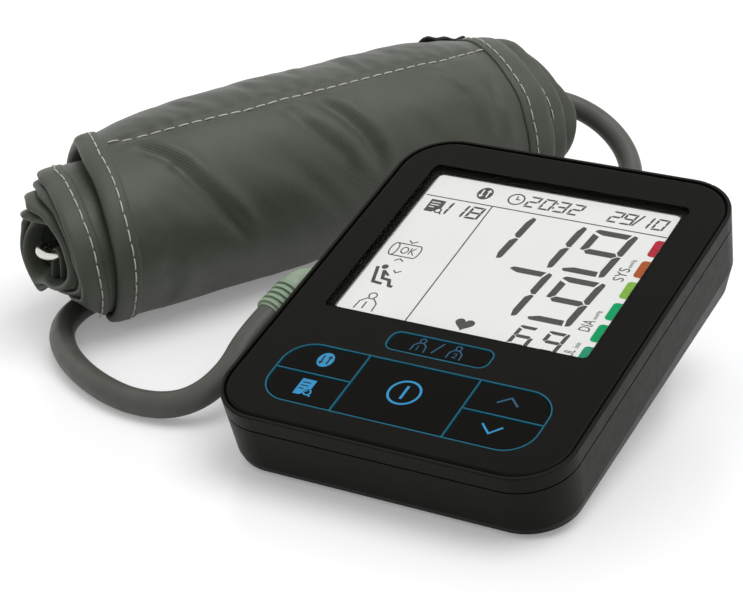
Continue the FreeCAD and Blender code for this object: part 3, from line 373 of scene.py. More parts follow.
def ribbon(line, width, closed=False):
    """A line of even width, with mitred corners."""
    count = len(line)
    points = []
    for index, point in enumerate(line):
        here = Vector(point)
        before = Vector(line[index - 1]) if index or closed else None
        after = Vector(line[(index + 1) % count]) if index < count - 1 or closed else None
        way_in = (here - before).normalized() if before else None
        way_out = (after - here).normalized() if after else None
        way_in, way_out = way_in or way_out, way_out or way_in
        side = Vector((-way_in.y - way_out.y, way_in.x + way_out.x)).normalized()
        reach = width / 2 / max(side.dot(Vector((-way_in.y, way_in.x))), 0.4)
        points.append(tuple(here + side * reach))
        points.append(tuple(here - side * reach))
    faces = []
    for index in range(count if closed else count - 1):
        one, two = 2 * index, 2 * ((index + 1) % count)
        faces.append((one, one + 1, two + 1, two))
    return points, faces


def circle_line(centre, radius, width, stretch=1.0):
    return ribbon(arc(centre, radius, 0, 360, 36, stretch)[:-1], width, True)


def join_flat(shapes):
    points, faces = [], []
    for shape_points, shape_faces in shapes:
        start = len(points)
        points += shape_points
        faces += [tuple(start + index for index in face) for face in shape_faces]
    return points, faces


def cut_below(points, floor):
    """The part of a polygon above a level."""
    kept = []
    for index, here in enumerate(points):
        before = points[index - 1]
        if (here[1] >= floor) != (before[1] >= floor):
            share = (floor - before[1]) / (here[1] - before[1])
            kept.append((before[0] + share * (here[0] - before[0]), floor))
        if here[1] >= floor:
            kept.append(here)
    return kept


def lettering(text, left, bottom, height, width=None, upright=False):
    """Letters in a plain typeface, as a flat shape. Upright letters read up the panel."""
    curve = bpy.data.curves.new("lettering", "FONT")
    curve.body = text
    curve.resolution_u = 3
    holder = add_object("lettering", curve)
    bpy.context.view_layer.update()
    mesh = bpy.data.meshes.new_from_object(holder.evaluated_get(bpy.context.evaluated_depsgraph_get()))
    flat = [(vertex.co.x, vertex.co.y) for vertex in mesh.vertices]
    faces = [tuple(face.vertices) for face in mesh.polygons]
    bpy.data.objects.remove(holder)
    low = [min(point[axis] for point in flat) for axis in (0, 1)]
    high = [max(point[axis] for point in flat) for axis in (0, 1)]
    tall = height / (high[1] - low[1])
    wide = width / (high[0] - low[0]) if width else tall
    sized = [((x - low[0]) * wide, (y - low[1]) * tall) for x, y in flat]
    if upright:
        sized = [(height - y, x) for x, y in sized]
    return [(left + x, bottom + y) for x, y in sized], faces


def print_piece(name, shapes, floor, rise, material, body):
    """Flat shapes on the panel as one thin closed piece."""
    flat, faces = join_flat(shapes)
    count = len(flat)
    points = [panel_point(u, v, height) for height in (floor + rise, floor) for u, v in flat]
    edges = {}
    for face in faces:
        for one, two in zip(face, face[1:] + face[:1]):
            key = (min(one, two), max(one, two))
            edges[key] = None if key in edges else (one, two)
    walls = [(one, two, two + count, one + count) for one, two in filter(None, edges.values())]
    floors = [tuple(index + count for index in reversed(face)) for face in faces]
    return new_piece(name, points, faces + floors + walls, material, body, smooth=False)


def on_display(name, shapes, material=SEGMENT, floor=LCD_FACE, rise=PRINT_RISE):
    print_piece(name, shapes, floor, rise, material, "monitor")


def on_key(name, shapes, body, material=KEY_PRINT, floor=KEY_FACE):
    print_piece(name, shapes, floor, PRINT_RISE, material, body)


# Widths of the lines in the signs
THIN_LINE, SIGN_LINE, BOLD_LINE = 0.4, 0.5, 0.6

# Numbers on the display
SEGMENTS = {
    "0": "abcdef", "1": "bc", "2": "abged", "3": "abgcd", "6": "afgecd", "7": "abc", "8": "abcdefg",
    "9": "abfgcd",
}
# The blunt tips of a digit's bars, as shares of the stroke across and up from a lower corner
LEFT_TIP = [(0.0, 0.95), (1.0, 1.4)]
RIGHT_TIP = [(-0.63, 0.0), (-0.1, 0.2), (0.0, 0.53), (-1.0, 1.17)]
LEVEL_TIP = [(0.0, 0.5), (0.1, 0.2), (0.4, 0.0), (1.25, 1.0)]
LEVEL_CUT = 1.5


def tip_points(corner, tip, stroke):
    return [(corner + across * stroke, up * stroke) for across, up in tip]


def segment_outline(name, width, height, stroke, gap):
    """One bar of a seven-bar digit, from its lower left corner. Outer ends come to a blunt tip."""
    half, middle = stroke / 2, height / 2
    inner = width - stroke
    end = [(0, middle - gap), (half, middle - gap / 2), (stroke, middle - half - gap)]
    left = tip_points(0, LEFT_TIP, stroke)
    right = tip_points(width, RIGHT_TIP, stroke)
    level = tip_points(0, LEVEL_TIP, stroke)
    bars = {
        "e": left[:1] + end + left[1:],
        "c": right[:-1] + [(width - x, y) for x, y in end] + right[-1:],
        "d": level[:-1] + [(inner, 0), (inner - LEVEL_CUT * gap, stroke)] + level[-1:],
        "g": [(half + gap, middle), (stroke + gap, middle + half), (inner - gap, middle + half),
              (width - half - gap, middle), (inner - gap, middle - half), (stroke + gap, middle - half)],
    }
    for upper, lower in zip("fba", "ecd"):
        bars[upper] = [(x, height - y) for x, y in bars[lower]]
    return bars[name]


def digit(text, right_at_top, top, width, height, stroke, gap, slant):
    """A seven-bar digit, placed by the right end of its top edge, and cut at the display's edge."""
    shapes = []
    for name in SEGMENTS[text]:
        outline = segment_outline(name, width, height, stroke, gap)
        placed = [(right_at_top - width + x + slant * (y - height), top - height + y) for x, y in outline]
        kept = cut_below(placed, PRINT_BOTTOM)
        if len(kept) > 2:
            shapes.append(polygon(kept))
    return shapes


# Each row has a style, the height of its top, and its digits with the place of their right ends
LARGE_DIGIT = dict(width=13.4, height=20.7, stroke=2.3, gap=0.35, slant=0.11)
PULSE_DIGIT = dict(width=6.4, height=9.2, stroke=1.25, gap=0.15, slant=0.11)
CLOCK_DIGIT = dict(width=3.75, height=5.4, stroke=0.7, gap=0.12, slant=0.17)
MEMORY_DIGIT = dict(width=4.4, height=6.0, stroke=0.8, gap=0.1, slant=0.12)
NUMBER_ROWS = [
    (LARGE_DIGIT, 39.3, [("1", -0.9), ("1", 15.6), ("9", 31.9)]),
    (LARGE_DIGIT, 16.5, [("7", 15.1), ("9", 31.9)]),
    (PULSE_DIGIT, -7.0, [("6", 22.6), ("9", 31.6)]),
    (CLOCK_DIGIT, 48.9, [("2", -3.4), ("0", 1.4), ("3", 6.2), ("2", 10.9)]),
    (CLOCK_DIGIT, 48.9, [("2", 23.7), ("9", 27.9), ("1", 33.1), ("0", 37.9)]),
    (MEMORY_DIGIT, 39.5, [("1", -28.6), ("1", -23.2), ("8", -17.9)]),
]


def number_shapes():
    slash = ribbon([(27.4, 43.6), (29.5, 49.0)], BOLD_LINE)
    colon = [rectangle(left, low, left + 0.6, low + 0.7) for left, low in ((0.98, 44.9), (1.4, 47.2))]
    shapes = [slash] + colon
    for style, top, digits in NUMBER_ROWS:
        for text, right in digits:
            shapes += digit(text, right, top, **style)
    return shapes


def rule_shapes():
    left, right, level, upright, half = LCD_LEFT + 0.7, LCD_RIGHT - 0.2, 41.1, -16.86, THIN_LINE / 2
    return [rectangle(left, level - half, right, level + half),
            rectangle(upright - half, PRINT_BOTTOM, upright + half, level - half)]


# Signs on the display and the keys

def transfer_arrows(centre, size):
    """Two arrows that point past each other, for a data transfer."""
    u, v = centre
    offset, reach, tail = 0.2 * size, 0.42 * size, 0.34 * size
    head_length, head_half, shaft_half = 0.24 * size, 0.17 * size, 0.055 * size
    shapes = []
    for way in (-1, 1):
        shaft, tip = u + way * offset, v + way * reach
        neck = tip - way * head_length
        shapes.append(polygon([(shaft - head_half, neck), (shaft, tip), (shaft + head_half, neck)]))
        low, high = sorted((v - way * tail, neck))
        shapes.append(rectangle(shaft - shaft_half, low, shaft + shaft_half, high))
    return shapes


def oval(centre, width, height):
    return disc(centre, width / 2, height / width)


def clock_sign(centre, radius):
    u, v = centre
    hands = ribbon([(u, v + 0.62 * radius), (u, v), (u + 0.5 * radius, v)], width=0.42)
    return [circle_line(centre, radius, SIGN_LINE), hands]


def page_sign(left, bottom, right, top, lens):
    """A filled page with a magnifier over its lower right corner."""
    notch_left, notch_top = right - 2.4, bottom + 2.6
    page = [(right, notch_top), (right, top), (left, top), (left, bottom), (notch_left, bottom)]
    handle = [(lens[0] + reach, lens[1] - reach) for reach in (0.75, 1.5)]
    return [polygon(page), circle_line(lens, 1.05, SIGN_LINE), ribbon(handle, BOLD_LINE)]


def page_lines(left, bottom, right, top):
    """The lines on a page, each a share of its width."""
    row, margin, half = (top - bottom) / 5, 0.7, THIN_LINE / 2
    start, room = left + margin, right - left - 2 * margin
    lines = []
    for index, share in enumerate((0.8, 0.8, 0.5)):
        height = top - row * (index + 1.1)
        lines.append(rectangle(start, height - half, start + room * share, height + half))
    return lines


def cuff_sign():
    """An arm cuff, seen as a short tube, that is put on right."""
    left, right, low, high = -36.2, -28.7, 11.3, 17.1
    middle, half = (low + high) / 2, (high - low) / 2
    near, far = 1.2, 1.1
    outline = [(left, low)] + arc((right, middle), far, -90, 90, 10, half / far) + [(left, high)]
    above = [(-33.4, 19.0), (-32.1, 17.9), (-30.6, 19.0)]
    below = [(-33.4, 9.0), (-32.0, 10.2), (-30.6, 9.2)]
    opening = circle_line((left, middle), near, THIN_LINE, half / near)
    word = lettering("OK", left=-33.9, bottom=12.6, height=3.3, width=4.9)
    return [ribbon(line, THIN_LINE) for line in (outline, above, below)] + [opening, word]


def seated_sign():
    """A person at rest on a chair."""
    chair = [(-36.8, 5.2), (-34.9, -1.6), (-31.8, -1.9)]
    body = [(-34.0, 4.1), (-32.8, 0.5), (-30.3, 0.2), (-29.3, -2.2), (-28.0, -2.4)]
    arm = [(-33.6, 3.6), (-31.6, 2.0)]
    mark = [(-31.3, 4.8), (-30.2, 3.8), (-28.8, 5.0)]
    return [disc((-34.6, 5.6), 1.05), ribbon(chair, 1.1), ribbon(body, 1.1), ribbon(arm, 0.8),
            ribbon(mark, THIN_LINE)]


# A person's shoulders, as shares of the sign's size
USER_BODY = [(-0.42, -0.5), (-0.38, -0.02), (-0.16, 0.22), (0.16, 0.22), (0.38, -0.02), (0.42, -0.5)]


def user_sign(centre, number, size):
    """The outline of a person, with a number."""
    u, v = centre
    head = arc((u, v + 0.42 * size), 0.17 * size, -60, 240)
    body = [(u + across * size, v + up * size) for across, up in USER_BODY]
    return [ribbon(head, THIN_LINE), ribbon(body, THIN_LINE),
            lettering(number, u - 0.1 * size, v - 0.42 * size, 0.42 * size)]


def heart(centre, width):
    """The common heart curve, 32 wide and 34 high before it is scaled."""
    points = []
    for index in range(40):
        t = 2 * math.pi * index / 40
        x = 16 * math.sin(t) ** 3
        y = 13 * math.cos(t) - 5 * math.cos(2 * t) - 2 * math.cos(3 * t) - math.cos(4 * t)
        points.append((centre[0] + x * width / 32, centre[1] + y * width / 34))
    return polygon(points[::-1])


# Labels that read up the display: the text, its left and bottom, and its height and length
LABELS = [
    ("SYS", 32.3, 18.7, 3.4, 6.0), ("mmHg", 34.2, 25.1, 1.7, 3.8),
    ("DIA", 32.3, -4.4, 3.4, 4.8), ("mmHg", 34.2, 1.1, 1.7, 3.8),
    ("UL", 32.6, PRINT_BOTTOM, 3.1, 2.5), ("/min", 34.2, -11.8, 1.7, 2.4),
]


def label_shapes():
    return [lettering(*label, upright=True) for label in LABELS]


BAR_LEFT, BAR_RIGHT = 37.3, LCD_RIGHT - 0.05
BAR_HEIGHT, BAR_PITCH, BAR_TOP, BAR_ROUND = 7.7, 9.86, 39.2, 1.2
BAR_COLOURS = [(185, 42, 62), (176, 90, 44), (134, 184, 70), (0, 162, 100), (2, 160, 98), (38, 150, 110)]


def level_bars():
    """The coloured scale at the display's right edge."""
    for index, colour in enumerate(BAR_COLOURS):
        top = BAR_TOP - index * BAR_PITCH
        low = top - BAR_HEIGHT
        middle = BAR_LEFT + BAR_ROUND
        upper = arc((middle, top - BAR_ROUND), BAR_ROUND, 90, 180, 6)
        lower = arc((middle, low + BAR_ROUND), BAR_ROUND, 180, 270, 6)
        outline = [(BAR_RIGHT, top)] + upper + lower + [(BAR_RIGHT, low)]
        shape = polygon(cut_below(outline, PRINT_BOTTOM))
        ink = printed("level_ink_%d" % (index + 1), srgb(*colour), specular=0.1)
        on_display("level_bar_%d" % (index + 1), [shape], ink)


TRANSFER_WIDTH = 5.0
TRANSFER_LCD, TRANSFER_KEY = (-21.9, 46.3), (-29.2, -39.1)
PAGE_LCD, PAGE_KEY = (-36.6, 33.6, -31.6, 39.5), (-31.4, -54.3, -26.9, -47.9)


def display_prints():
    signs = rule_shapes() + cuff_sign() + seated_sign() + page_sign(*PAGE_LCD, lens=(-32.2, 34.7))
    signs += clock_sign((-11.3, 46.2), radius=2.5) + user_sign((-31.5, -10.6), "1", size=7.2)
    signs += [oval(TRANSFER_LCD, TRANSFER_WIDTH, height=5.9), heart((0.3, -11.5), width=6.0)]
    on_display("lcd_numbers", number_shapes())
    on_display("lcd_signs", signs)
    on_display("lcd_labels", label_shapes())
    pale = transfer_arrows(TRANSFER_LCD, TRANSFER_WIDTH) + page_lines(*PAGE_LCD)
    on_display("lcd_sign_gaps", pale, LCD_PALE, LCD_FACE + PRINT_RISE, GAP_RISE)
    level_bars()


def key_prints():
    over = KEY_FACE + PRINT_RISE
    on_key("transfer_sign", [oval(TRANSFER_KEY, TRANSFER_WIDTH, height=6.0)], "transfer_key")
    arrows = transfer_arrows(TRANSFER_KEY, TRANSFER_WIDTH)
    on_key("transfer_sign_arrows", arrows, "transfer_key", KEY_PRINT_DARK, over)
    on_key("memory_sign", page_sign(*PAGE_KEY, lens=(-27.4, -52.9)), "memory_key")
    on_key("memory_sign_lines", page_lines(*PAGE_KEY), "memory_key", KEY_PRINT_DARK, over)
    ring = circle_line((-0.93, -44.8), radius=4.65, width=0.7)
    bar = rectangle(left=-1.33, bottom=-47.4, right=-0.53, top=-42.0)
    on_key("start_stop_sign", [ring, bar], "start_stop_key")
    up = ribbon([(25.4, -40.7), (28.7, -37.9), (31.7, -40.7)], BOLD_LINE)
    on_key("up_sign", [up], "up_key", KEY_PRINT_DIM)
    down = ribbon([(25.4, -49.4), (28.7, -52.6), (31.6, -49.4)], BOLD_LINE)
    on_key("down_sign", [down], "down_key")
    users = user_sign((-6.1, -25.6), "1", size=5.0) + user_sign((5.2, -25.6), "2", size=5.0)
    users.append(ribbon([(-1.7, -27.6), (0.4, -22.9)], width=0.45))
    on_key("user_sign", users, "user_key", KEY_PRINT_DIM)


# Hose

def hose_route():
    """The route's points from the cuff's nipple to the plug's strain relief."""
    under = [cuff_point(*point) for point in HOSE_UNDER_CUFF]
    loop = [Vector(point) for point in HOSE_LOOP]
    return [cuff_point(NIPPLE_END, 0.0, TURNS_HEIGHT)] + under[::-1] + loop[::-1] + [Vector(HOSE_START)]


def air_hose():
    route = hose_route()
    curve = bpy.data.curves.new("air_hose", "CURVE")
    curve.dimensions = "3D"
    spline = curve.splines.new("NURBS")
    spline.points.add(len(route) - 1)
    for point, place in zip(spline.points, route):
        point.co = (*(place * MM), 1.0)
    spline.order_u = 3
    spline.use_endpoint_u = True
    spline.resolution_u = 10
    curve.bevel_depth = HOSE_RADIUS * MM
    curve.bevel_resolution = 8
    curve.use_fill_caps = True
    curve.materials.append(HOSE)
    piece = add_object("air_hose", curve)
    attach(piece, "cuff_set")
    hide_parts("hose")


# Rolled cuff

FLOOR_GAP = 0.25
HOSE_TOP = 2 * HOSE_RADIUS + 0.6
HOSE_ROOM = (5.5, 13.0)
HOSE_LYING = HOSE_RADIUS + 2
ROLL_BOTTOM = WRAP_HEIGHT - WRAP_RADIUS
TOP, BOTTOM = -30.0, 165.0
NEAR_ANGLE, FAR_ANGLE = 40, 110


def nearest_on_line(line, point):
    """The signed distance from a line in a plane, and the share of the line's points passed."""
    best = (1e9, 0.0)
    for index, (start, end) in enumerate(zip(line, line[1:])):
        run_x, run_y = end[0] - start[0], end[1] - start[1]
        off_x, off_y = point[0] - start[0], point[1] - start[1]
        share = min(max((off_x * run_x + off_y * run_y) / (run_x ** 2 + run_y ** 2), 0.0), 1.0)
        away = math.hypot(off_x - share * run_x, off_y - share * run_y)
        if away < abs(best[0]):
            side = math.copysign(1.0, run_x * off_y - run_y * off_x)
            best = (side * away, (index + share) / (len(line) - 1))
    return best


HOSE_GUIDE = [(place.x, place.y) for place in hose_route() if place.z < HOSE_LYING]


def settle(place):
    """Press the roll's lower half on to the table, and over the hose that runs under it."""
    if place.z >= WRAP_HEIGHT:
        return place
    away = abs(nearest_on_line(HOSE_GUIDE, place)[0])
    rest = HOSE_TOP + (FLOOR_GAP - HOSE_TOP) * smoothstep(*HOSE_ROOM, away)
    share = max((place.z - ROLL_BOTTOM) / (WRAP_HEIGHT - ROLL_BOTTOM), 0.0)
    return Vector((place.x, place.y, rest + share * (WRAP_HEIGHT - rest)))


def roll_point(s, angle, radius, height):
    """A point of the roll: the angle runs from the top towards the front and on round."""
    turn = math.radians(angle)
    return settle(cuff_point(s, -radius * math.sin(turn), height + radius * math.cos(turn)))


def share_near(middle, angle):
    """How near an angle is to a middle one: 1 up to the near angle, and 0 from the far angle on."""
    return 1 - smoothstep(NEAR_ANGLE, FAR_ANGLE, abs((angle - middle + 180) % 360 - 180))


# The outer wrap: its edges as angle and s, how far its top sinks as s and drop, and its seam and
# its creases as s and angle. A crease has a depth and a width.
WRAP_START, WRAP_END = -80.0, 287.0
WRAP_STEP, WRAP_COLUMNS = 2.3, 96
WRAP_LEFT = [
    (-80, -40.0), (-45, -42.0), (-30, -43.7), (-17, -45.9), (0, -49.0), (15, -51.4), (30, -52.9),
    (45, -54.4), (60, -55.9), (75, -56.4), (90, -55.9), (105, -55.4), (120, -54.4), (150, -51.0),
    (180, -48.5), (287, -44.0),
]
WRAP_RIGHT = [
    (-80, 117.0), (-25, 118.0), (-6, 117.3), (14, 115.6), (30, 114.6), (44, 114.0), (62, 114.4), (74, 114.0),
    (88, 114.9), (102, 115.9), (150, 114.5), (287, 110.0),
]
WRAP_DROP = [
    (-56, 4.8), (-43, 3.6), (-36, 2.6), (-27, 1.1), (-15, -0.6), (0, -1.0), (30, -0.8), (60, -0.6), (80, 0.2),
    (95, 2.0), (107, 4.0), (118, 5.6),
]
SEAM = [
    (-43.0, 6.5), (-40.0, 8.0), (-36.5, 12.0), (-28.0, 15.0), (-20.5, 17.5), (-8.5, 19.5), (4.5, 21.0),
    (18.5, 20.5), (36.0, 20.5), (53.5, 20.0), (74.5, 20.0), (85.0, 20.0), (97.5, 16.0), (105.0, 13.8),
]
CREASES = [
    ([(-39, 18), (-36, 24), (-32, 32), (-28, 42), (-26, 48)], 1.8, 2.2),
    ([(-29, 38), (-28, 43), (-25, 55), (-19, 72), (-12, 91), (-6, 106)], 2.2, 2.4),
    ([(26, 22), (28, 25), (35, 41), (40, 58), (42, 71), (43, 92)], 1.8, 2.8),
    ([(10, 22), (16, 27), (20, 41), (29, 63), (33, 82)], 1.5, 3.0),
    ([(-2, 24), (13, 26), (21, 31), (27, 38)], 0.9, 2.2),
    ([(68, 26), (75, 32), (83, 50), (84, 64), (85, 80)], 1.0, 2.6),
    ([(97, 36), (95, 55), (94, 70), (92, 84)], 1.2, 2.2),
    ([(-51, 58), (-48, 68), (-45, 79), (-47, 92)], 1.1, 2.0),
    ([(-42, 92), (-38, 112), (-34, 140)], 1.4, 3.2),
    ([(54, -26), (52, -5), (50, 10)], 1.0, 1.8),
    ([(34, -26), (32, -6), (31, 10)], 0.7, 1.8),
    ([(13, -26), (12, -6), (12, 10)], 0.6, 1.8),
    ([(-14, -22), (-13, -4), (-12, 10)], 0.7, 1.8),
    ([(73, -22), (70, -4), (69, 10)], 0.7, 1.8),
]
CREASE_REACH = 6
# Soft folds: a height, a length, a width and a plane of the noise. Most of them lean.
BROAD_FOLD = (1.1, 45, 30, 3.1)
LEANING_FOLDS = [(0.8, 55, 12, 7.7), (0.4, 22, 5, 1.3)]
FOLD_LEAN = math.radians(52.0)
SEAM_WIDTH, SEAM_REACH = 1.5, 5
EAR_S, EAR_ANGLE = -46.5, -17.0


def arc_length(angle):
    return WRAP_RADIUS * math.radians(angle)


CREASE_LINES = [([(s, arc_length(angle)) for s, angle in line], depth, width)
                for line, depth, width in CREASES]


def wrap_left(angle):
    return interpolate(WRAP_LEFT, angle)


def wrap_right(angle):
    return interpolate(WRAP_RIGHT, angle)


def fold(along, across, height, length, width, plane):
    return height * noise.noise(Vector((along / length, across / width, plane)))


def crease_height(s, across_roll):
    """The creases: each a valley with a ridge on its upper side, faded at its ends."""
    height = 0.0
    for line, depth, width in CREASE_LINES:
        away, share = nearest_on_line(line, (s, across_roll))
        if abs(away) < CREASE_REACH * width:
            strength = depth * smoothstep(0, 0.3, share) * (1 - smoothstep(0.65, 1, share))
            ridge = 0.7 * math.exp(-((away + 1.7 * width) / width / 1.2) ** 2)
            valley = math.exp(-(abs(away) / width) ** 1.4)
            height += strength * (ridge - valley)
    return height


def wrinkles(s, angle):
    """How far the cloth stands out of its round: soft folds, creases and the sewn seam."""
    across_roll = arc_length(angle)
    along = s * math.cos(FOLD_LEAN) + across_roll * math.sin(FOLD_LEAN)
    across = across_roll * math.cos(FOLD_LEAN) - s * math.sin(FOLD_LEAN)
    height = fold(s, across_roll, *BROAD_FOLD)
    for leaning in LEANING_FOLDS:
        height += fold(along, across, *leaning)
    height += crease_height(s, across_roll)
    below = across_roll - arc_length(interpolate(SEAM, s))
    calm = 0.75 * math.exp(-(below / SEAM_REACH) ** 2)
    sunk = math.exp(-(below / SEAM_WIDTH) ** 2)
    height = height * (1 - calm) - sunk
    if below < 0:
        pucker = math.sin(s * 0.84 + 3 * noise.noise(Vector((s / 20, 0, 5))))
        height += 0.5 * math.exp(below / SEAM_REACH) * pucker
    return height


def wrap_drop(s):
    """How far the wrap's top sinks, smoothed along the roll."""
    offsets = (-6, -3, 0, 3, 6)
    return sum(interpolate(WRAP_DROP, s + offset) for offset in offsets) / len(offsets)


def wrap_radius(s, angle):
    """The wrap's outer face: its end dips under its own start, and its edges and ends have no folds."""
    tuck = 4.4 * smoothstep(235, 283, angle)
    base = WRAP_RADIUS - tuck - wrap_drop(s) * share_near(TOP, angle)
    fade = smoothstep(7, 17, s - wrap_left(angle)) * smoothstep(11, 20, wrap_right(angle) - s)
    fade *= smoothstep(WRAP_START, WRAP_START + 12, angle) * (1 - smoothstep(225, 250, angle))
    ear = 1.3 * math.exp(-((s - EAR_S) / 3) ** 2 - ((angle - EAR_ANGLE) / 10) ** 2)
    return base + ear + fade * (0.6 + wrinkles(s, angle))


def wrap_surface(s, angle):
    return wrap_radius(s, angle), WRAP_HEIGHT


def spread(start, end, count):
    return [start + (end - start) * index / count for index in range(count + 1)]


def even_steps(start, end, step):
    return spread(start, end, max(round((end - start) / step), 1))


# Cloth pieces: each is a row of closed loops of points

def loop_faces(rows, loop, first=0):
    """The faces between the loops of a row."""
    faces = []
    for start in range(first, first + (rows - 1) * loop, loop):
        for column in range(loop):
            one, two = start + column, start + (column + 1) % loop
            faces.append((one, two, two + loop, one + loop))
    return faces


def cap_faces(rows, loop, width, last):
    """The faces that close a row's ends, from a loop's first points to its last ones."""
    return [(start + column, start + column + 1, start + last - 1 - column, start + last - column)
            for start in (0, (rows - 1) * loop) for column in range(width - 1)]


def cloth_piece(name, points, uvs, faces, material):
    """A piece of the cuff with a weave, smoothed once."""
    piece = new_piece(name, points, faces, material, "cuff_set")
    weave = piece.data.uv_layers.new(name="weave")
    for corner in piece.data.loops:
        weave.data[corner.index].uv = uvs[corner.vertex_index]
    smoothing = piece.modifiers.new("smooth", "SUBSURF")
    smoothing.levels = 1
    smoothing.render_levels = 1
    return piece


def wind(angles, section):
    """The points and uvs of loops round the roll.

    At an angle, the section gives the radius that it winds at and a loop of s, radius, height and u.
    """
    points, uvs = [], []
    wound = 0.0
    for angle in angles:
        winding_radius, loop = section(angle)
        wound += math.radians(angles[1] - angles[0]) * winding_radius
        for s, radius, height, u in loop:
            points.append(roll_point(s, angle, radius, height))
            uvs.append((u / UV_UNIT, wound / UV_UNIT))
    return points, uvs


RIM_SWELL = 0.45


def layer_loop(columns, angle, surface, thickness):
    """A layer's section with round rims: its outer face, right rim, inner face and left rim."""
    outer = [(s, *surface(s, angle), s) for s in columns]
    inner = [(s, radius - thickness, height, u) for s, radius, height, u in outer]
    rims = []
    for way, (s, radius, height, _) in ((1, outer[-1]), (-1, outer[0])):
        swollen = s + way * RIM_SWELL * thickness
        rims.append((swollen, radius - thickness / 2, height, swollen))
    return outer + rims[:1] + inner[::-1] + rims[1:]


def layer_piece(name, angles, across, surface, thickness, material):
    """A closed layer of the roll: across gives the s of each column at an angle."""
    def section(angle):
        loop = layer_loop(across(angle), angle, surface, thickness)
        return loop[width // 2][1], loop
    rows, width = len(angles), len(across(angles[0]))
    last = 2 * width
    loop = last + 2
    faces = loop_faces(rows, loop) + cap_faces(rows, loop, width, last)
    for start in (0, (rows - 1) * loop):
        faces.append((start + width - 1, start + width, start + width + 1))
        faces.append((start, start + last, start + last + 1))
    points, uvs = wind(angles, section)
    return cloth_piece(name, points, uvs, faces, material)


def outer_wrap():
    def across(angle):
        return spread(wrap_left(angle), wrap_right(angle), WRAP_COLUMNS)
    angles = even_steps(WRAP_START, WRAP_END, WRAP_STEP)
    return layer_piece("cuff_wrap", angles, across, wrap_surface, WRAP_THICKNESS, FABRIC)


# The inner turns, wound from under the wrap's start to the bore. Their angle runs on from turn to
# turn, and their edges are angle and s. The radii are of each turn at the front, top and bottom.
TURNS_START, TURNS_END = 283.0, 1516.0
TURN_THICKNESS = 2.2
TURN_FRONT = [27.9, 22.6, 17.3, 12.0]
TURN_TOP_LEFT = [21.4, 18.0, 14.0, 8.5]
TURN_TOP_RIGHT = [22.8, 20.0, 16.8, 12.0]
TURN_FLARE = 2.3
TURN_BOTTOM = [29.2, 26.2, 23.2, 20.2]
TURNS_LIFT, TURN_RISE = 0.4, 0.9
TURN_LEFT = [
    (283, -50.0), (315, -55.0), (340, -61.0), (360, -63.9), (375, -64.4), (390, -65.9), (405, -67.4),
    (420, -68.4), (435, -68.4), (450, -67.9), (465, -66.9), (480, -65.2), (495, -63.2), (510, -61.8),
    (540, -58.0), (600, -55.5), (643, -53.0), (660, -54.4), (700, -63.0), (735, -66.9), (780, -67.4),
    (810, -66.9), (850, -63.9), (900, -62.4), (960, -63.9), (990, -64.4), (1003, -63.0), (1020, -62.0),
    (1060, -67.5), (1095, -70.5), (1110, -70.0), (1140, -68.4), (1180, -67.0), (1230, -67.5),
    (1270, -65.0), (1363, -64.0), (1400, -69.0), (1440, -71.0), (1470, -70.0), (1490, -67.0),
    (1516, -62.5),
]
TURN_RIGHT = [
    (283, 117.0), (335, 121.5), (364, 122.2), (385, 120.8), (404, 121.5), (426, 122.3), (450, 122.9),
    (474, 124.4), (560, 121.0), (643, 119.5), (695, 122.5), (742, 123.8), (761, 125.4), (776, 126.8),
    (788, 129.2), (800, 131.3), (808, 131.4), (824, 130.4), (844, 129.5), (920, 127.0), (1003, 121.0),
    (1080, 120.0), (1180, 121.0), (1363, 117.0), (1516, 116.0),
]
TURN_COLUMNS = [0.0, 1.5, 4.0, 8.0, 14.0, 24.0]
TURN_STEP = 4.0


def turns_passed(angle):
    """How many turns lie outside a point: each turn drops to the next at the back."""
    passed = (angle - TURNS_START) / 360
    return math.floor(passed) + smoothstep(0.68, 1.0, passed - math.floor(passed))


def turn_surface(s, angle):
    """The outer face of the turns: its radius and the height of its middle."""
    passed = turns_passed(angle)
    front, top_left, top_right, bottom = (
        interpolate(list(enumerate(radii)), passed)
        for radii in (TURN_FRONT, TURN_TOP_LEFT, TURN_TOP_RIGHT, TURN_BOTTOM))
    top = top_left + (top_right - top_left) * smoothstep(-30, 30, s) + TURN_FLARE * smoothstep(112, 123, s)
    radius = front + (top - front) * share_near(TOP, angle) + (bottom - front) * share_near(BOTTOM, angle)
    ripple = fold(s, angle, height=0.4, length=14, width=40, plane=9.0)
    return radius + ripple, WRAP_HEIGHT + TURNS_LIFT + TURN_RISE * passed


def ragged_edge(edge, angle, plane):
    return interpolate(edge, angle) + 0.6 * noise.noise(Vector((angle / 30, plane, 0)))


def turn_left(angle):
    return ragged_edge(TURN_LEFT, angle, plane=4.0)


def turn_right(angle):
    return ragged_edge(TURN_RIGHT, angle, plane=8.0)


def turn_columns(angle):
    left, right = turn_left(angle), turn_right(angle)
    return [left + offset for offset in TURN_COLUMNS] + [right - offset for offset in TURN_COLUMNS[::-1]]


def inner_turns():
    angles = even_steps(TURNS_START, TURNS_END, TURN_STEP)
    return layer_piece("cuff_turns", angles, turn_columns, turn_surface, TURN_THICKNESS, FABRIC)


# Binding and stitches

BAND_INNER_LEG = 5.0
BAND_STEP = 3.0


def band_profile(width, thickness, rise):
    """The binding's section, folded round a layer's edge: its outer line and its inner line.

    Each point is a distance in from the edge and a height over the layer's outer face.
    """
    under = -thickness - rise
    outer = [(width, 0.6 * rise), (width - 0.5, rise), (0.6, rise), (-1.6, 0.0), (-2.1, -thickness / 2),
             (-1.6, -thickness), (0.6, under), (BAND_INNER_LEG, under)]
    inner = [(width, -0.2), (width - 0.5, -0.2), (0.8, -0.2), (0.5, -0.4), (0.4, -thickness / 2),
             (0.5, -thickness + 0.4), (0.8, -thickness + 0.2), (BAND_INNER_LEG, -thickness + 0.2)]
    return outer, inner


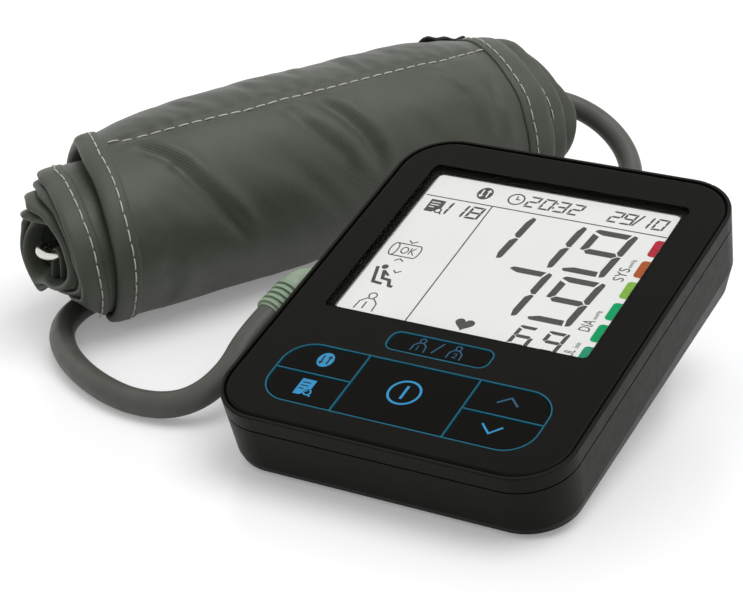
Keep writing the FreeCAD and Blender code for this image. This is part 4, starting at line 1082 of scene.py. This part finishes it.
def band(name, angles, edge, way, surface, width, thickness, rise):
    """Binding tape round one edge of a layer. The way is 1 at a left edge and -1 at a right one."""
    outer, inner = band_profile(width, thickness, rise)
    profile = outer + inner[::-1]

    def section(angle):
        loop = []
        for inset, lift in profile:
            s = edge(angle) + way * inset
            radius, height = surface(s, angle)
            loop.append((s, radius + lift, height, inset + lift))
        return surface(edge(angle), angle)[0], loop
    rows, loop = len(angles), len(profile)
    faces = loop_faces(rows, loop) + cap_faces(rows, loop, len(outer), loop - 1)
    points, uvs = wind(angles, section)
    return cloth_piece(name, points, uvs, faces, BINDING)


# A stitch's rings: shares of its length and of its radius, and a rise over the cloth
STITCH_LENGTH, STITCH_PITCH, STITCH_RADIUS = 4.1, 4.7, 0.27
STITCH_RINGS = [(-0.5, 0.4, -0.12), (-0.36, 0.9, 0.1), (0.0, 1.0, 0.2), (0.36, 0.9, 0.1), (0.5, 0.4, -0.12)]
STITCH_SIDES = 6


def stitches(name, line):
    """Short threads along a line of (place, outward) pairs, one for each pitch of its length."""
    points, faces = [], []
    passed, due = 0.0, STITCH_PITCH / 2
    for (start, up), (end, _) in zip(line, line[1:]):
        run = (end - start).length
        while passed + run >= due:
            middle = start.lerp(end, (due - passed) / run)
            add_stitch(points, faces, middle, (end - start).normalized(), up)
            due += STITCH_PITCH
        passed += run
    return new_piece(name, points, faces, THREAD, "cuff_set")


def add_stitch(points, faces, middle, way, up):
    side = way.cross(up).normalized()
    lift = side.cross(way)
    first = len(points)
    for along, thick, rise in STITCH_RINGS:
        centre = middle + way * (along * STITCH_LENGTH) + lift * rise
        for index in range(STITCH_SIDES):
            angle = 2 * math.pi * index / STITCH_SIDES
            spoke = side * math.cos(angle) + lift * math.sin(angle)
            points.append(centre + spoke * (thick * STITCH_RADIUS))
    faces += loop_faces(len(STITCH_RINGS), STITCH_SIDES, first)
    last = len(points) - STITCH_SIDES
    faces.append(tuple(range(first, first + STITCH_SIDES))[::-1])
    faces.append(tuple(range(last, last + STITCH_SIDES)))


def outward(s, angle, surface):
    """The way out of the roll's surface at a point."""
    radius, height = surface(s, angle)
    here = roll_point(s, angle, radius, height)
    return (roll_point(s, angle, radius + 1, height) - here).normalized()


def surface_line(places, surface, rise):
    """Points on a layer's outer face, with the way out of it, along (s, angle) places."""
    line = []
    for s, angle in places:
        radius, height = surface(s, angle)
        line.append((roll_point(s, angle, radius + rise, height), outward(s, angle, surface)))
    return line


# Each binding: its edge, its way, its layer (face, thickness and the binding's rise), the angles
# that it covers, its width, and its stitches' distance from the edge and angles
WRAP_LAYER = (wrap_surface, WRAP_THICKNESS, 0.8)
TURN_LAYER = (turn_surface, TURN_THICKNESS, 0.5)
BANDS = [
    ("wrap_left", wrap_left, 1, WRAP_LAYER, (-76.0, 262.0), 6.2, 3.4, (-60.0, 150.0)),
    ("wrap_right", wrap_right, -1, WRAP_LAYER, (-76.0, 262.0), 10.2, 7.1, (-60.0, 150.0)),
    ("turn_left", turn_left, 1, TURN_LAYER, (287.0, 1512.0), 7.0, 4.3, (300.0, 508.0)),
    ("turn_right", turn_right, -1, TURN_LAYER, (287.0, 1400.0), 7.0, 4.2, (404.0, 446.0)),
]
SEAM_STEP, SEAM_RISE = 1.5, 0.1


def bindings():
    for name, edge, way, (surface, thickness, rise), covered, width, inset, stitched in BANDS:
        angles = even_steps(*covered, BAND_STEP)
        band(name + "_binding", angles, edge, way, surface, width, thickness, rise)
        places = [(edge(angle) + way * inset, angle) for angle in even_steps(*stitched, BAND_STEP)]
        stitches(name + "_stitches", surface_line(places, surface, rise))


def seam_stitches():
    places = [(s, interpolate(SEAM, s)) for s in even_steps(SEAM[0][0], SEAM[-1][0], SEAM_STEP)]
    stitches("seam_stitches", surface_line(places, wrap_surface, SEAM_RISE))


# The free end of the hook tape, on the back of the roll's top
FLAP_START, FLAP_END, FLAP_STEP = -64.0, -24.0, 2.5
FLAP_LEFT, FLAP_RIGHT, FLAP_COLUMNS = 97.0, 112.0, 14
FLAP_THICKNESS, FLAP_RISE = 1.4, 1.2


def flap_surface(s, angle):
    lift = smoothstep(-52, -26, angle) * (0.7 + 0.5 * math.sin(s * 0.8))
    return wrap_radius(s, angle) + FLAP_RISE + lift, WRAP_HEIGHT


def hook_flap():
    columns = spread(FLAP_LEFT, FLAP_RIGHT, FLAP_COLUMNS)
    angles = even_steps(FLAP_START, FLAP_END, FLAP_STEP)
    layer_piece("hook_flap", angles, lambda angle: columns, flap_surface, FLAP_THICKNESS, HOOK_TAPE)


# The loop of cloth that holds the wire ring: its section across the roll as y and z, and its ends.
# It leans along the roll, away from a height where it is in place.
STRAP_SECTION = [
    (-2.4, 17.6), (-2.3, 22.0), (-2.4, 26.4), (-3.0, 28.2), (-4.9, 29.0), (-6.9, 28.2), (-7.6, 26.2),
    (-8.2, 22.6), (-8.0, 19.4),
]
STRAP_THICKNESS = 0.9
STRAP_LEFT, STRAP_RIGHT, STRAP_COLUMNS = -65.4, -52.0, 6
STRAP_LEAN, STRAP_LEAN_HEIGHT = 0.08, 24
STRAP_WEAVE = 0.25


def strap_section(side):
    """The section's line, moved to one side by half of the strap's thickness."""
    line = [Vector(point) for point in STRAP_SECTION]
    moved = []
    for index, here in enumerate(line):
        before, after = line[max(index - 1, 0)], line[min(index + 1, len(line) - 1)]
        way = (after - before).normalized()
        moved.append(here + Vector((-way.y, way.x)) * (-side * STRAP_THICKNESS / 2))
    return moved


def ring_strap():
    profile = strap_section(1) + strap_section(-1)[::-1]
    rows, loop = STRAP_COLUMNS + 1, len(profile)
    points, uvs = [], []
    for s in spread(STRAP_LEFT, STRAP_RIGHT, STRAP_COLUMNS):
        for index, (y, z) in enumerate(profile):
            points.append(cuff_point(s + STRAP_LEAN * (z - STRAP_LEAN_HEIGHT), y, z))
            uvs.append((s / UV_UNIT, STRAP_WEAVE * min(index, loop - 1 - index)))
    faces = loop_faces(rows, loop) + cap_faces(rows, loop, len(STRAP_SECTION), loop - 1)
    cloth_piece("ring_strap", points, uvs, faces, BINDING)


def rolled_cuff():
    wrap = outer_wrap()
    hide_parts("cuff_outer_fabric", "cuff_bladder")
    turns = inner_turns()
    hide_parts("cuff_lining", "cuff_inner_turns")
    bindings()
    seam_stitches()
    hook_flap()
    ring_strap()


# Stage

def camera():
    data = bpy.data.cameras.new("camera")
    data.lens = CAMERA_LENS
    data.sensor_width = 36.0
    data.clip_start, data.clip_end = 0.01, 20.0
    holder = add_object("camera", data)
    axes = Matrix([CAMERA_RIGHT, [-value for value in CAMERA_DOWN], [-value for value in CAMERA_FORWARD]])
    holder.matrix_world = Matrix.Translation(Vector(CAMERA_PLACE) * MM) @ axes.transposed().to_4x4()
    bpy.context.scene.camera = holder


FLOOR_SIZE = 6.0
FLOOR_SEEN = 0.84
FLOOR_BOUNCE = 0.6
FLOOR_GLOW = 0.22
WORLD_STRENGTH = 0.64
SUN_STRENGTH = 1.35
SUN_ANGLE = math.radians(45.0)
SUN_FROM = (0.35, 0.15, 0.92)


def background_ray(tree):
    """1 for what the camera, a reflection or a clear piece sees, and 0 for light on the object."""
    path = tree.nodes.new("ShaderNodeLightPath")
    seen = path.outputs["Is Camera Ray"]
    for name in ("Is Glossy Ray", "Is Transmission Ray"):
        either = tree.nodes.new("ShaderNodeMath")
        either.operation = "MAXIMUM"
        tree.links.new(seen, either.inputs[0])
        tree.links.new(path.outputs[name], either.inputs[1])
        seen = either.outputs["Value"]
    return seen


def floor():
    half = FLOOR_SIZE / 2
    mesh = bpy.data.meshes.new("floor")
    corners = [(-half, -half, 0), (half, -half, 0), (half, half, 0), (-half, half, 0)]
    mesh.from_pydata(corners, [], [(0, 1, 2, 3)])
    material, tree, sockets = new_material("floor", grey(FLOOR_SEEN), roughness=0.3)
    seen = background_ray(tree)
    shade = ramp(tree, seen, grey(FLOOR_BOUNCE), grey(FLOOR_SEEN), low_at=0.0, high_at=1.0)
    tree.links.new(shade, sockets["Base Color"])
    sockets["Emission Color"].default_value = grey(1.0)
    glow = tree.nodes.new("ShaderNodeMath")
    glow.operation = "MULTIPLY"
    glow.inputs[1].default_value = FLOOR_GLOW
    tree.links.new(seen, glow.inputs[0])
    tree.links.new(glow.outputs["Value"], sockets["Emission Strength"])
    mesh.materials.append(material)
    add_object("floor", mesh)


def world():
    """Even soft light; the camera, reflections and clear pieces see white."""
    made = bpy.data.worlds.new("studio")
    made.use_nodes = True
    bpy.context.scene.world = made
    tree = made.node_tree
    shader = tree.nodes["Background"]
    shader.inputs["Color"].default_value = grey(1.0)
    strength = tree.nodes.new("ShaderNodeMapRange")
    strength.inputs["To Min"].default_value = WORLD_STRENGTH
    strength.inputs["To Max"].default_value = 1.0
    tree.links.new(background_ray(tree), strength.inputs["Value"])
    tree.links.new(strength.outputs["Result"], shader.inputs["Strength"])


def sun():
    data = bpy.data.lights.new("key_light", "SUN")
    data.energy = SUN_STRENGTH
    data.angle = SUN_ANGLE
    holder = add_object("key_light", data)
    holder.rotation_euler = Vector(SUN_FROM).to_track_quat("Z", "Y").to_euler()


bpy.context.scene.view_settings.view_transform = "Standard"
camera()
floor()
world()
sun()
dress_nodes()
air_hose()
rolled_cuff()
display_prints()
key_prints()
